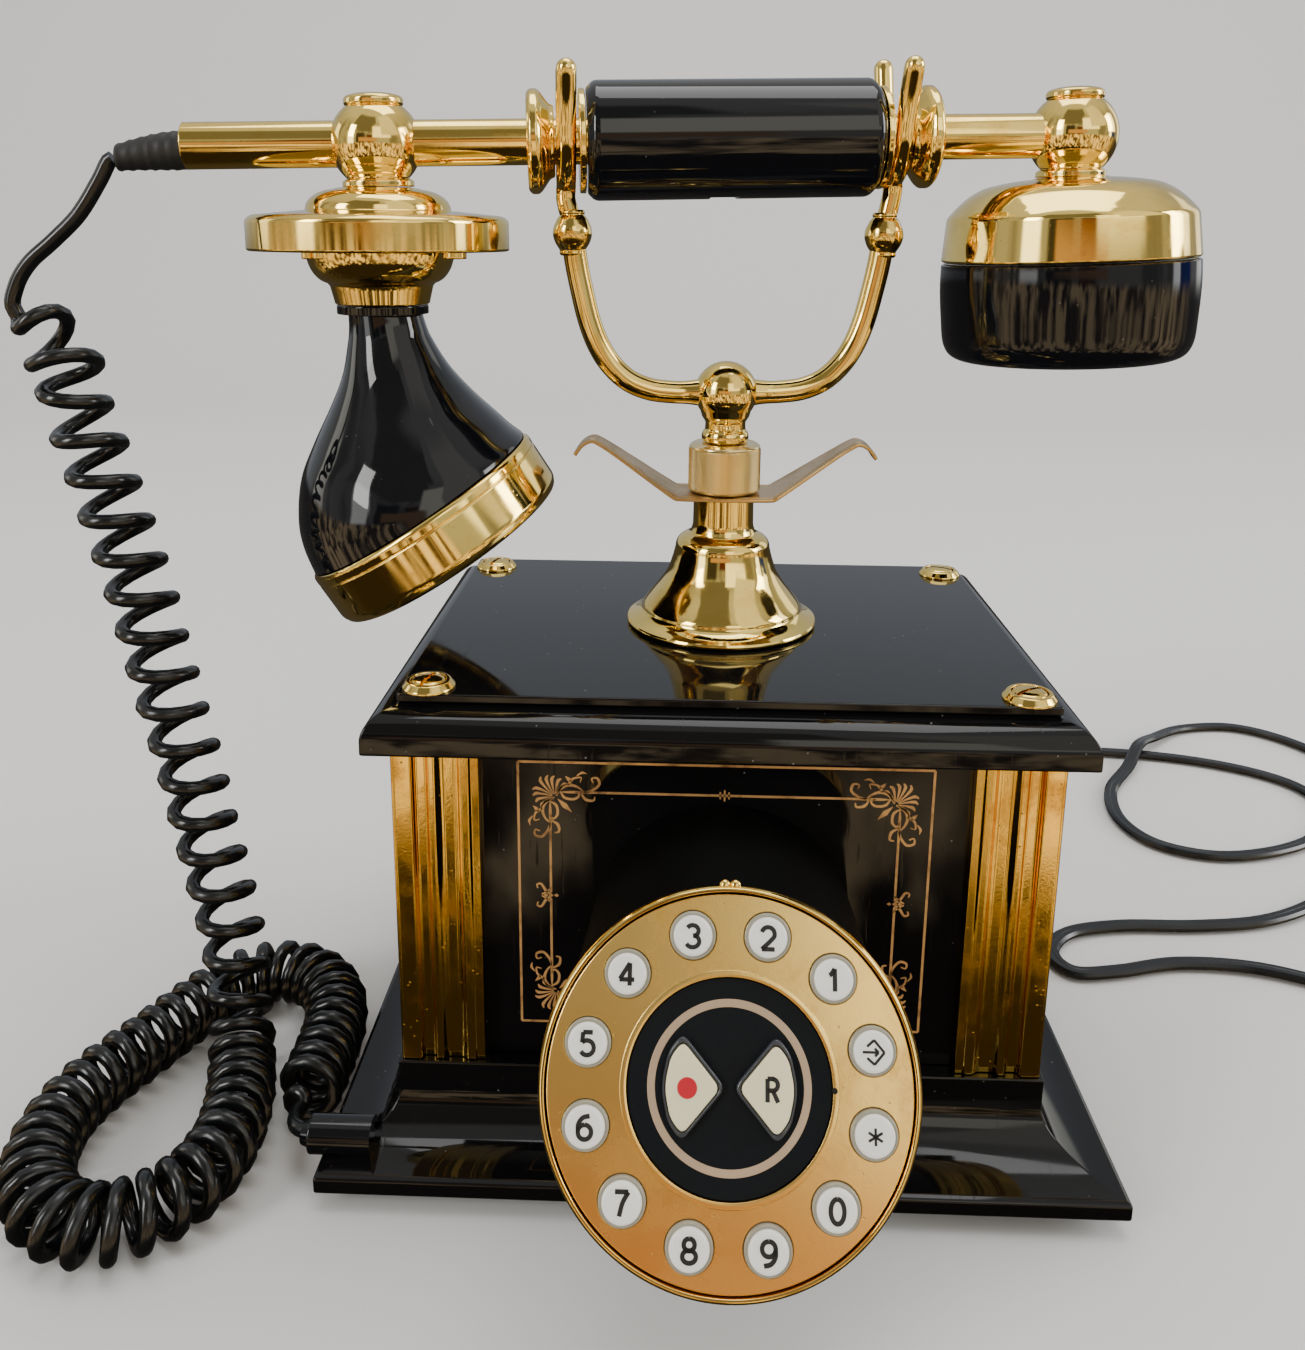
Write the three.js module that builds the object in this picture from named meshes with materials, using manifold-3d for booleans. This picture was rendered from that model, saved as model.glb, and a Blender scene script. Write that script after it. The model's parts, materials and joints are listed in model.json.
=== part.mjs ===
// A column telephone: a lacquered, gilded box with a push-button dial, a brass stem with a sprung
// cradle, and a brass handset with a black receiver and a bottle-shaped mouthpiece.
// Millimetres, +X to the right seen from the front, +Y to the back, +Z up, floor at z = 0.

import * as THREE from 'three';
import { mergeVertices } from 'three/addons/utils/BufferGeometryUtils.js';
import Module from 'manifold-3d';

const wasm = await Module();
wasm.setup();

// ---------------------------------------------------------------------------------------------
// Driving dimensions
// ---------------------------------------------------------------------------------------------

const GAP = 0.3; // clearance between neighbouring pieces

// Base, from the floor up
const FOOT_HEIGHT = 4.5;
const FOOT_RADIUS = 8;
const FOOT_INSET = 16; // foot centre to the plinth's outer edge
const PLINTH_HEIGHT = 23.4;
const PLINTH_SPREAD = 17.6; // how far the plinth's lower edge stands out from the columns
const PLINTH_EDGE = 4; // height of its lower vertical edge
const PLINTH_NECK = 8; // height of its upper vertical band
const PLINTH_WALL = 5;
const COVER_THICKNESS = 2.5;
const CASE_HEIGHT = 81.2;
const CASE_WALL = 4;
const BODY_WIDTH = 153.3; // over the columns
const BODY_DEPTH = 116.4;
const COLUMN_WIDTH = 20.2;
const COLUMN_RELIEF = 3.5; // how far the columns stand out from the panels
const CORNICE_HEIGHT = 10.1;
const CORNICE_OVERHANG = 7.05;
const CORNICE_LIP = 3; // height of its lower vertical edge
const PLATE_WIDTH = 150;
const PLATE_DEPTH = 113.1;
const PLATE_THICKNESS = 2.1;

// Stem
const ROD_RADIUS = 3.6; // the cradle's sliding rod
const ROD_CLEARANCE = 0.4;
const BELL_RADIUS = 25.4;
const BELL_HEIGHT = 34.2;
const BELL_NECK_RADIUS = 7.9;
const STRIP_THICKNESS = 1;
const STRIP_FLAT = 12.8; // half length of its flat middle
const STRIP_REACH = 38.8; // centre to tip
const STRIP_RISE = 14.2;
const COLLAR_RADIUS = 9.4;
const COLLAR_HEIGHT = 12.8;

// Cradle
const CRADLE_TURN = THREE.MathUtils.degToRad(6.5); // about the stem
const CRADLE_TRAVEL = 4;
const YOKE_NECK_RADIUS = 5.7;
const HUB_RADIUS = 8.1;
const HUB_RISE = 12.7; // hub centre above the yoke's lower face
const ARM_RADIUS = 2.78;
const ARM_SPAN = 39.5; // stem axis to each bead
const ARM_RISE = 40; // hub centre to bead centre
const BEAD_RADIUS = 4.95;
const BEAD_HALF_HEIGHT = 5.6;
const PRONG_RADIUS = 2.45;
const PRONG_SPAN = 41; // stem axis to the prongs
const PRONG_SPREAD = 14.2; // half the distance between prong tips
const REAR_PRONG_RISE = 20.3; // tip above the handset's axis
const FRONT_PRONG_RISE = 17.6;

// Handset
const HANDSET_AXIS_RISE = 62.8; // tube axis above the hub centre
const HANDSET_LEAN = THREE.MathUtils.degToRad(1.45); // receiver end up
const MOUTH_END_LEAN = THREE.MathUtils.degToRad(-1.3);
const EAR_END_LEAN = THREE.MathUtils.degToRad(1.2);
const TUBE_RADIUS = 5.5;
const TUBE_WALL = 1.2;
const TUBE_LEFT_END = 131.9; // stem axis to the tube's free end
const BALL_OFFSET = 86.85; // stem axis to each ball
const BALL_RADIUS = 11;
const GRIP_HALF_LENGTH = 36;
const GRIP_RADIUS = 14.25;
const INNER_FLANGE_THICKNESS = 1.6;
const FLANGE_RADIUS = 12.4;
const FLANGE_NECK_WALL = 2.9; // from the tube to the outer flange's face against the fork
const OUTER_FLANGE_FACE = 50.4; // stem axis to each outer flange's outer face
const RECEIVER_RADIUS = 31.8;
const RECEIVER_COVER_HEIGHT = 20.2;
const RECEIVER_CUP_HEIGHT = 25.2;
const SEAT_LEVEL = -10.4; // where the end pieces meet the balls' collars, from the tube's axis
const DISC_RADIUS = 31.6;
const DISC_HEIGHT = 7.7;
const MOUTH_RING_RADIUS = 32.8;
const MOUTH_RING_WIDTH = 15.3;
const MOUTH_TILT = THREE.MathUtils.degToRad(32.4);
const BOTTLE_WALL = 2.5;
const BOOT_LENGTH = 15.6;

// Dial
const DIAL_RADIUS = 36.65;
const DIAL_TILT = THREE.MathUtils.degToRad(27.3);
const DIAL_REACH = 52.2; // dial centre in front of the columns' front face
const DIAL_HEIGHT = 65; // dial centre above the floor
const RIM_WIDTH = 1.3;
const DIAL_PLATE_THICKNESS = 1.2;
const DRUM_WALL = 1.6;
const DRUM_BACK_RADIUS = 30;
const KEY_COUNT = 12;
const KEY_RADIUS = 4.3;
const KEY_MARGIN = 2.25; // plate between each key hole and the plate's edge
const CENTRE_MARGIN = 3.8; // plate between the key holes and the centre hole
const KEY_PROUD = 1.9;

// Cords
const HANDSET_CORD_DIAMETER = 3.8;
const CURL_DIAMETER = 17;
const LINE_CORD_WIDTH = 5;
const LINE_CORD_THICKNESS = 2.4;
const LINE_COIL_RADIUS = 27; // at the middle of its turns

// Levels worked out from the sizes above
const PLINTH_TOP = FOOT_HEIGHT + PLINTH_HEIGHT;
const CASE_TOP = PLINTH_TOP + CASE_HEIGHT;
const CORNICE_TOP = CASE_TOP + CORNICE_HEIGHT;
const PLATE_TOP = CORNICE_TOP + PLATE_THICKNESS;
const BELL_TOP = PLATE_TOP + GAP + BELL_HEIGHT;
const STRIP_TOP = BELL_TOP + GAP + STRIP_THICKNESS;
const COLLAR_TOP = STRIP_TOP + GAP + COLLAR_HEIGHT;
const YOKE_BOTTOM = COLLAR_TOP + GAP;
const HUB_HEIGHT = YOKE_BOTTOM + HUB_RISE;
const HANDSET_HEIGHT = HUB_HEIGHT + HANDSET_AXIS_RISE;
const ROD_BORE = ROD_RADIUS + ROD_CLEARANCE;
const ROD_FLANGE_BOTTOM = CORNICE_TOP - CRADLE_TRAVEL - 3;
const ROD_BOTTOM = ROD_FLANGE_BOTTOM - 18;
const SWITCH_TOP = ROD_BOTTOM - GAP;
const PANEL_HALF_WIDTH = BODY_WIDTH / 2 - COLUMN_RELIEF;
const PANEL_HALF_DEPTH = BODY_DEPTH / 2 - COLUMN_RELIEF;
const PLINTH_HALF_WIDTH = BODY_WIDTH / 2 + PLINTH_SPREAD;
const PLINTH_HALF_DEPTH = BODY_DEPTH / 2 + PLINTH_SPREAD;

// ---------------------------------------------------------------------------------------------
// Geometry helpers
// ---------------------------------------------------------------------------------------------

const point = (x, y, z) => new THREE.Vector3(x, y, z);

/** Signed volume of a triangle mesh: positive when its faces point out. */
function signedVolume(geometry) {
  const flat = geometry.index ? geometry.toNonIndexed() : geometry;
  const position = flat.attributes.position;
  const [a, b, c] = [point(0, 0, 0), point(0, 0, 0), point(0, 0, 0)];
  let sum = 0;
  for (let i = 0; i < position.count; i += 3) {
    a.fromBufferAttribute(position, i);
    b.fromBufferAttribute(position, i + 1);
    c.fromBufferAttribute(position, i + 2);
    sum += a.dot(b.cross(c)) / 6;
  }
  return sum;
}

/** Merges shared vertices, drops triangles with no area and turns the faces outward. */
function welded(geometry) {
  const bare = new THREE.BufferGeometry();
  bare.setAttribute('position', geometry.attributes.position.clone());
  if (geometry.index) bare.setIndex(geometry.index.clone());
  const merged = mergeVertices(bare, 1e-3);
  const from = merged.index.array;
  const index = [];
  const inward = signedVolume(merged) < 0;
  for (let i = 0; i < from.length; i += 3) {
    const [a, b, c] = [from[i], from[i + 1], from[i + 2]];
    if (a !== b && b !== c && c !== a) index.push(a, ...(inward ? [c, b] : [b, c]));
  }
  merged.setIndex(index);
  return merged;
}

/** Turns a closed geometry into a solid for boolean work. */
function toSolid(geometry) {
  const mesh = welded(geometry);
  return new wasm.Manifold(new wasm.Mesh({
    numProp: 3,
    vertProperties: new Float32Array(mesh.attributes.position.array),
    triVerts: new Uint32Array(mesh.index.array),
  }));
}

/** Turns a solid back into a geometry. */
function fromSolid(solid) {
  const mesh = solid.getMesh();
  const geometry = new THREE.BufferGeometry();
  geometry.setAttribute('position', new THREE.BufferAttribute(new Float32Array(mesh.vertProperties), 3));
  geometry.setIndex(new THREE.BufferAttribute(new Uint32Array(mesh.triVerts), 1));
  return geometry;
}

const union = (geometries) => fromSolid(geometries.map(toSolid).reduce((all, one) => all.add(one)));
const cut = (geometry, ...tools) =>
  fromSolid(tools.map(toSolid).reduce((rest, tool) => rest.subtract(tool), toSolid(geometry)));

/** Revolves a profile of [radius, height] pairs about Z. */
function turned(profile, sides = 24) {
  const points = profile.map(([radius, height]) => new THREE.Vector2(radius, height));
  return new THREE.LatheGeometry(points, sides).rotateX(Math.PI / 2);
}

/** Revolves a closed ring-shaped profile about Z. */
const turnedRing = (profile, sides) => turned([...profile, profile[0]], sides);

/** A cylinder along Z from one height to another. */
const cylinder = (radius, low, high, sides = 24) =>
  turned([[0, low], [radius, low], [radius, high], [0, high]], sides);

/** A box between two corners. */
function block(low, high) {
  const size = high.clone().sub(low);
  const middle = low.clone().add(high).multiplyScalar(0.5);
  return new THREE.BoxGeometry(size.x, size.y, size.z).translate(middle.x, middle.y, middle.z);
}

/** Points of a quarter of an ellipse, from one end to the other. */
function quarterArc(centre, radii, fromAngle, toAngle, steps) {
  return Array.from({ length: steps + 1 }, (_, i) => {
    const angle = fromAngle + ((toAngle - fromAngle) * i) / steps;
    return [centre[0] + radii[0] * Math.cos(angle), centre[1] + radii[1] * Math.sin(angle)];
  });
}

/** Closed surface over outlines of equal count: capped at both ends, or looped back to the first. */
function skin(outlines, looped = false) {
  const count = outlines[0].length;
  const index = [];
  const rows = looped ? outlines.length : outlines.length - 1;
  for (let row = 0; row < rows; row++) {
    const next = (row + 1) % outlines.length;
    for (let i = 0; i < count; i++) {
      const j = (i + 1) % count;
      const [a, b, c, d] = [row * count + i, row * count + j, next * count + j, next * count + i];
      index.push(a, b, c, a, c, d);
    }
  }
  const last = (outlines.length - 1) * count;
  for (let i = 1; !looped && i < count - 1; i++) {
    index.push(0, i + 1, i, last, last + i, last + i + 1);
  }
  const geometry = new THREE.BufferGeometry();
  geometry.setAttribute('position',
    new THREE.Float32BufferAttribute(outlines.flat().flatMap((p) => [p.x, p.y, p.z]), 3));
  geometry.setIndex(index);
  return geometry;
}

/** A mitred rectangular ring: each profile pair is [distance out from the rectangle, height]. */
function mitredRing(halfWidth, halfDepth, profile) {
  const corners = [[-1, -1], [1, -1], [1, 1], [-1, 1]];
  return skin(profile.map(([out, height]) => corners.map(([sx, sy]) =>
    point(sx * (halfWidth + out), sy * (halfDepth + out), height))), true);
}

/** A round section for sweeping. */
function roundSection(radius, sides) {
  const outline = Array.from({ length: sides }, (_, i) => {
    const angle = (2 * Math.PI * i) / sides;
    return new THREE.Vector2(radius * Math.cos(angle), radius * Math.sin(angle));
  });
  return new THREE.Shape(outline);
}

/** Sweeps a section along a smooth curve through the given points. */
function swept(section, points, steps) {
  const path = new THREE.CatmullRomCurve3(points);
  return new THREE.ExtrudeGeometry(section, { steps, bevelEnabled: false, extrudePath: path });
}

// ---------------------------------------------------------------------------------------------
// Finishes
// ---------------------------------------------------------------------------------------------

const finish = (color, roughness, metalness) => () =>
  new THREE.MeshStandardMaterial({ color, roughness, metalness });

const brass = finish(0xd9a441, 0.22, 1);
const wornBrass = finish(0xb07a2a, 0.35, 1);
const lacquer = finish(0x0b0b0d, 0.12, 0);
const blackPlastic = finish(0x101114, 0.2, 0);
const mattBlack = finish(0x14161a, 0.6, 0);
const rubber = finish(0x0a0a0a, 0.7, 0);
const keyPlastic = finish(0xe8e6df, 0.35, 0);
const creamPlastic = finish(0xd8d0a8, 0.4, 0);
const steel = finish(0x9a9a98, 0.3, 1);
const boardGreen = finish(0x1f5a37, 0.5, 0);

/** Adds one named sub-part to a group. */
function add(group, name, geometry, material) {
  const mesh = new THREE.Mesh(welded(geometry), material());
  mesh.name = name;
  group.add(mesh);
  return mesh;
}

// ---------------------------------------------------------------------------------------------
// Base: plinth, case, columns, cornice, top plate, cover, feet and electronics
// ---------------------------------------------------------------------------------------------

const JACK_RADIUS = 4.5;
const JACK_PLACE = { y: -66, z: 12.5 };
const JACK_REACH = 3; // how far the jack stands out from the plinth's lower edge
const GROMMET_RADIUS = 4;
const GROMMET_LENGTH = 22;
const GROMMET_PLACE = { x: 48, z: 14 };
const QUARTER_TURN = Math.PI / 2;

function plinth() {
  const cove = quarterArc([PLINTH_SPREAD, PLINTH_TOP - PLINTH_NECK],
    [PLINTH_SPREAD - 0.8, PLINTH_HEIGHT - PLINTH_NECK - PLINTH_EDGE], Math.PI, 1.5 * Math.PI, 6);
  const wall = [
    [-PLINTH_WALL, FOOT_HEIGHT],
    [PLINTH_SPREAD, FOOT_HEIGHT],
    ...cove.reverse(),
    [0.8, PLINTH_TOP - GAP],
    [-PLINTH_WALL, PLINTH_TOP - GAP],
  ];
  const ring = mitredRing(BODY_WIDTH / 2, BODY_DEPTH / 2, wall);
  const jackHole = cylinder(JACK_RADIUS + GAP, -60, 60, 16).rotateY(QUARTER_TURN)
    .translate(-PLINTH_HALF_WIDTH, JACK_PLACE.y, JACK_PLACE.z);
  const grommetHole = cylinder(GROMMET_RADIUS + GAP, -40, 40, 16).rotateX(QUARTER_TURN)
    .translate(GROMMET_PLACE.x, PLINTH_HALF_DEPTH, GROMMET_PLACE.z);
  return cut(ring, jackHole, grommetHole);
}

function caseShell() {
  const low = PLINTH_TOP;
  const high = CASE_TOP - GAP;
  const shell = mitredRing(PANEL_HALF_WIDTH, PANEL_HALF_DEPTH,
    [[0, low], [0, high], [-CASE_WALL, high], [-CASE_WALL, low]]);
  const wiringHole = cylinder(DRUM_BACK_RADIUS - 10, -10, 10, 24).rotateX(QUARTER_TURN)
    .translate(0, -PANEL_HALF_DEPTH, DIAL_HEIGHT);
  return cut(shell, wiringHole);
}

/** One fluted corner column, an L round the case's corner, for the corner at +X, +Y. */
function column() {
  const reach = COLUMN_RELIEF - GAP;
  const flutes = [ // distance from the outer corner, depth of the face there
    [0, 0.6], [0.6, 0], [4.6, 0], [5.4, 1.6], [7.6, 1.6], [8.4, 0.2], [9.6, 0.2],
    [11.4, 1.3], [14.2, 1.3], [16, 0.2], [17.2, 0.2], [17.8, 0.7], [COLUMN_WIDTH, 0.7],
  ];
  const cornerX = BODY_WIDTH / 2;
  const cornerY = BODY_DEPTH / 2;
  const backFace = flutes.slice(1).reverse().map(([along, depth]) =>
    new THREE.Vector2(cornerX - along, cornerY - depth));
  const sideFace = flutes.slice(1).map(([along, depth]) =>
    new THREE.Vector2(cornerX - depth, cornerY - along));
  const inside = [
    new THREE.Vector2(cornerX - reach, cornerY - COLUMN_WIDTH),
    new THREE.Vector2(cornerX - reach, cornerY - reach),
    new THREE.Vector2(cornerX - COLUMN_WIDTH, cornerY - reach),
  ];
  const shape = new THREE.Shape([...backFace, ...sideFace, ...inside]);
  return new THREE.ExtrudeGeometry(shape, { depth: CASE_HEIGHT - GAP, bevelEnabled: false })
    .translate(0, 0, PLINTH_TOP);
}

function cornice() {
  const curve = quarterArc([0, CASE_TOP + CORNICE_LIP],
    [CORNICE_OVERHANG, CORNICE_HEIGHT - CORNICE_LIP - GAP], 0, QUARTER_TURN, 6);
  return mitredRing(PLATE_WIDTH / 2, PLATE_DEPTH / 2, [
    [-8, CASE_TOP],
    [CORNICE_OVERHANG, CASE_TOP],
    ...curve,
    [-8, CORNICE_TOP - GAP],
  ]);
}

function topPlate() {
  const plate = block(point(-PLATE_WIDTH / 2, -PLATE_DEPTH / 2, CORNICE_TOP),
    point(PLATE_WIDTH / 2, PLATE_DEPTH / 2, PLATE_TOP));
  return cut(plate, cylinder(ROD_BORE, CORNICE_TOP - 1, PLATE_TOP + 1, 16));
}

function bottomCover() {
  const halfWidth = BODY_WIDTH / 2 - PLINTH_WALL - GAP;
  const halfDepth = BODY_DEPTH / 2 - PLINTH_WALL - GAP;
  return block(point(-halfWidth, -halfDepth, FOOT_HEIGHT),
    point(halfWidth, halfDepth, FOOT_HEIGHT + COVER_THICKNESS));
}

/** Printed circuit board with the hook switch and the sounder soldered on, hung under the top plate. */
function circuitBoard() {
  const boardLow = SWITCH_TOP - 16;
  const board = block(point(-50, -36, boardLow), point(50, 36, boardLow + 1.6));
  const hookSwitch = block(point(-8, -7, boardLow + 1), point(8, 7, SWITCH_TOP));
  const sounder = cylinder(12, boardLow + 1, boardLow + 9, 16).translate(-30, 12, 0);
  return union([board, hookSwitch, sounder]);
}

/** Return spring round the cradle's rod, between the hook switch and the rod's flange. */
function hookSpring() {
  const low = ROD_BOTTOM;
  const high = ROD_FLANGE_BOTTOM - GAP;
  const turns = 5;
  const steps = 50;
  const wire = 0.6;
  const coilRadius = ROD_BORE + 1.2;
  const helix = Array.from({ length: steps + 1 }, (_, i) => {
    const angle = (2 * Math.PI * turns * i) / steps;
    const height = low + wire + ((high - low - 2 * wire) * i) / steps;
    return point(coilRadius * Math.cos(angle), coilRadius * Math.sin(angle), height);
  });
  return swept(roundSection(wire, 5), helix, steps);
}

function buildBase() {
  const base = new THREE.Group();
  add(base, 'plinth', plinth(), lacquer);
  add(base, 'case', caseShell(), lacquer);
  add(base, 'cornice', cornice(), lacquer);
  add(base, 'top_plate', topPlate(), lacquer);
  add(base, 'bottom_cover', bottomCover(), blackPlastic);
  for (const [side, sx] of [['left', -1], ['right', 1]]) {
    for (const [end, sy] of [['front', -1], ['back', 1]]) {
      add(base, `column_${end}_${side}`, column().scale(sx, sy, 1), brass);
      const foot = cylinder(FOOT_RADIUS, 0, FOOT_HEIGHT - GAP, 16).translate(
        sx * (PLINTH_HALF_WIDTH - FOOT_INSET), sy * (PLINTH_HALF_DEPTH - FOOT_INSET), 0);
      add(base, `foot_${end}_${side}`, foot, rubber);
    }
  }
  add(base, 'circuit_board', circuitBoard(), boardGreen);
  add(base, 'hook_spring', hookSpring(), steel);
  const jack = cylinder(JACK_RADIUS, -JACK_REACH, PLINTH_SPREAD, 16).rotateY(QUARTER_TURN)
    .translate(-PLINTH_HALF_WIDTH, JACK_PLACE.y, JACK_PLACE.z);
  add(base, 'handset_jack', jack, blackPlastic);
  const grommet = turned([[0, 0], [GROMMET_RADIUS, 0], [GROMMET_RADIUS, 14], [2.6, GROMMET_LENGTH],
    [0, GROMMET_LENGTH]], 16).rotateX(-QUARTER_TURN)
    .translate(GROMMET_PLACE.x, PLINTH_HALF_DEPTH - 14, GROMMET_PLACE.z);
  add(base, 'line_grommet', grommet, rubber);
  return base;
}

// ---------------------------------------------------------------------------------------------
// Stem: bell, winged strip and knurled collar round the cradle's rod
// ---------------------------------------------------------------------------------------------

function bell() {
  const foot = PLATE_TOP + GAP;
  const outside = [
    [BELL_RADIUS, 0], [BELL_RADIUS, 1.2], [21.2, 5.1], [18.6, 8.1], [16.4, 10.9], [14.8, 13.7],
    [13.9, 16.8], [13.3, 19.6], [12.6, 21.9], [11, 23.7], [8.6, 24.7], [BELL_NECK_RADIUS, 26.4],
    [BELL_NECK_RADIUS, BELL_HEIGHT],
  ];
  return turnedRing([[ROD_BORE, 0], ...outside, [ROD_BORE, BELL_HEIGHT]]
    .map(([radius, height]) => [radius, foot + height]), 24);
}

/** Leaf-shaped strip whose two wings rise and curl over at the tips. */
function wingStrip() {
  const low = BELL_TOP + GAP;
  const stations = [ // distance from the stem, height, half width
    [0, 0, 10], [STRIP_FLAT, 0, 9.2], [STRIP_FLAT + 2.6, 0.9, 9], [STRIP_REACH - 7.4, STRIP_RISE - 1.6, 5.2],
    [STRIP_REACH - 4.6, STRIP_RISE - 0.2, 4.8], [STRIP_REACH - 2.2, STRIP_RISE - 1.2, 4.5],
    [STRIP_REACH, STRIP_RISE - 3.9, 4.2],
  ];
  const line = [...stations.slice(1).reverse().map(([x, z, w]) => [-x, z, w]), ...stations];
  const outlines = line.map(([x, z, w], i) => {
    const before = line[Math.max(i - 1, 0)];
    const after = line[Math.min(i + 1, line.length - 1)];
    const along = new THREE.Vector2(after[0] - before[0], after[1] - before[1]).normalize();
    const [nx, nz] = [-along.y * STRIP_THICKNESS, along.x * STRIP_THICKNESS];
    return [point(x, -w, low + z), point(x, w, low + z),
      point(x + nx, w, low + z + nz), point(x + nx, -w, low + z + nz)];
  });
  return cut(skin(outlines), cylinder(ROD_BORE, low - 2, low + 4, 16));
}

function knurledCollar() {
  const low = STRIP_TOP + GAP;
  return turnedRing([
    [ROD_BORE, low], [COLLAR_RADIUS - 0.5, low], [COLLAR_RADIUS, low + 0.7],
    [COLLAR_RADIUS, COLLAR_TOP - 1.9], [YOKE_NECK_RADIUS + 1.3, COLLAR_TOP], [ROD_BORE, COLLAR_TOP],
  ], 28);
}

function buildStem() {
  const stem = new THREE.Group();
  add(stem, 'bell', bell(), brass);
  add(stem, 'wing_strip', wingStrip(), wornBrass);
  add(stem, 'knurled_collar', knurledCollar(), brass);
  return stem;
}

// ---------------------------------------------------------------------------------------------
// Cradle: sliding rod, neck, hub and two forked arms in one piece
// ---------------------------------------------------------------------------------------------

function arm(side) {
  const rod = swept(roundSection(ARM_RADIUS, 8), [
    point(0, 0, 0), point(14, 0, 0.1), point(20, 0, 0.9), point(25.4, 0, 3.2), point(29.8, 0, 7.2),
    point(33, 0, 12.2), point(35.4, 0, 18.5), point(37.2, 0, 26), point(38.6, 0, 33),
    point(ARM_SPAN, 0, ARM_RISE),
  ], 16);
  const bead = turned([
    [0, -BEAD_HALF_HEIGHT], [2.7, -BEAD_HALF_HEIGHT], [3.9, -3.4], [BEAD_RADIUS, -0.6],
    [BEAD_RADIUS - 0.3, 1.3], [3.4, 3.9], [2.6, BEAD_HALF_HEIGHT], [0, BEAD_HALF_HEIGHT],
  ], 12).translate(ARM_SPAN, 0, ARM_RISE);
  const lean = side * PRONG_SPAN * Math.tan(HANDSET_LEAN); // handset axis height at this arm
  const axis = HANDSET_AXIS_RISE + lean;
  const seat = TUBE_RADIUS + GAP + PRONG_RADIUS;
  const prong = (back) => {
    const top = axis + (back > 0 ? REAR_PRONG_RISE : FRONT_PRONG_RISE) - PRONG_RADIUS;
    const path = [
      point(ARM_SPAN, 0, ARM_RISE + 3), point(PRONG_SPAN, 0, axis - FLANGE_RADIUS - 1.5),
      point(PRONG_SPAN, 0, axis - seat - 2),
      point(PRONG_SPAN, back * seat * 0.62, axis - seat * 0.9),
      point(PRONG_SPAN, back * (seat + 0.3), axis - 1.5), point(PRONG_SPAN, back * 11, axis + 9),
      point(PRONG_SPAN, back * (PRONG_SPREAD - 0.4), top),
    ];
    const tip = new THREE.SphereGeometry(PRONG_RADIUS, 8, 4)
      .translate(PRONG_SPAN, back * (PRONG_SPREAD - 0.4), top);
    return union([swept(roundSection(PRONG_RADIUS, 8), path, 9), tip]);
  };
  const right = union([rod, bead, prong(-1), prong(1)]);
  return side > 0 ? right : right.scale(-1, 1, 1);
}

function yoke() {
  const [low, flange] = [ROD_BOTTOM - HUB_HEIGHT, ROD_FLANGE_BOTTOM - HUB_HEIGHT];
  const core = turned([
    [0, low], [ROD_RADIUS, low], [ROD_RADIUS, flange], [ROD_RADIUS + 2.8, flange],
    [ROD_RADIUS + 2.8, flange + 1.5], [ROD_RADIUS, flange + 1.5], [ROD_RADIUS, -HUB_RISE],
    [YOKE_NECK_RADIUS, -HUB_RISE], [5.2, -7.6], [6.9, -4.2],
    ...quarterArc([0, 0], [HUB_RADIUS, HUB_RADIUS], -0.3, QUARTER_TURN, 6),
  ], 16);
  return union([core, arm(-1), arm(1)]);
}

function buildCradle() {
  const cradle = new THREE.Group();
  cradle.position.z = HUB_HEIGHT;
  cradle.rotation.z = CRADLE_TURN;
  add(cradle, 'cradle', yoke(), brass);
  return cradle;
}

// ---------------------------------------------------------------------------------------------
// Handset, about the tube's axis: +X to the receiver, origin above the stem
// ---------------------------------------------------------------------------------------------

/** A turned piece laid along the tube, with heights measured along +X. */
const alongTube = (profile, sides) => turnedRing(profile, sides).rotateY(QUARTER_TURN);

const TUBE_BORE = TUBE_RADIUS + GAP;
const INNER_FLANGE_START = GRIP_HALF_LENGTH + GAP;

function grip() {
  const [end, full] = [GRIP_HALF_LENGTH, GRIP_HALF_LENGTH - 1.8];
  return alongTube([[TUBE_BORE, -end], [FLANGE_RADIUS, -end], [GRIP_RADIUS, -full],
    [GRIP_RADIUS, full], [FLANGE_RADIUS, end], [TUBE_BORE, end]], 24);
}

function innerFlange(side) {
  const [near, far] = [INNER_FLANGE_START, INNER_FLANGE_START + INNER_FLANGE_THICKNESS];
  const ring = alongTube([[TUBE_BORE, near], [FLANGE_RADIUS, near], [FLANGE_RADIUS, far - 0.5],
    [FLANGE_RADIUS - 0.6, far], [TUBE_BORE, far]], 24);
  return side > 0 ? ring : ring.scale(-1, 1, 1);
}

function outerFlange(side) {
  const face = OUTER_FLANGE_FACE;
  const ring = alongTube([[TUBE_BORE, PRONG_SPAN + PRONG_RADIUS + GAP],
    [TUBE_RADIUS + FLANGE_NECK_WALL, PRONG_SPAN + PRONG_RADIUS + GAP], [11.7, face - 3.4],
    [FLANGE_RADIUS, face - 2.6],
    [FLANGE_RADIUS, face - 0.9], [FLANGE_RADIUS - 0.9, face], [TUBE_BORE, face]], 24);
  return side > 0 ? ring : ring.scale(-1, 1, 1);
}

/** A ball with a button cap on top and a collar below, bored for the tube. */
function ball(bores) {
  const sphere = quarterArc([0, 0], [BALL_RADIUS, BALL_RADIUS], 0.86, -0.8, 7);
  const piece = turned([
    [0, 11.6], [5.6, 11.3], [7.1, 10.6], [7.1, 8.9], ...sphere, [7.6, -8.4], [8.6, -9],
    [8.6, -10.1], [0, -10.1],
  ], 20);
  return cut(piece, ...bores.map(([low, high]) =>
    cylinder(TUBE_BORE, low, high, 20).rotateY(QUARTER_TURN)));
}

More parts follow.
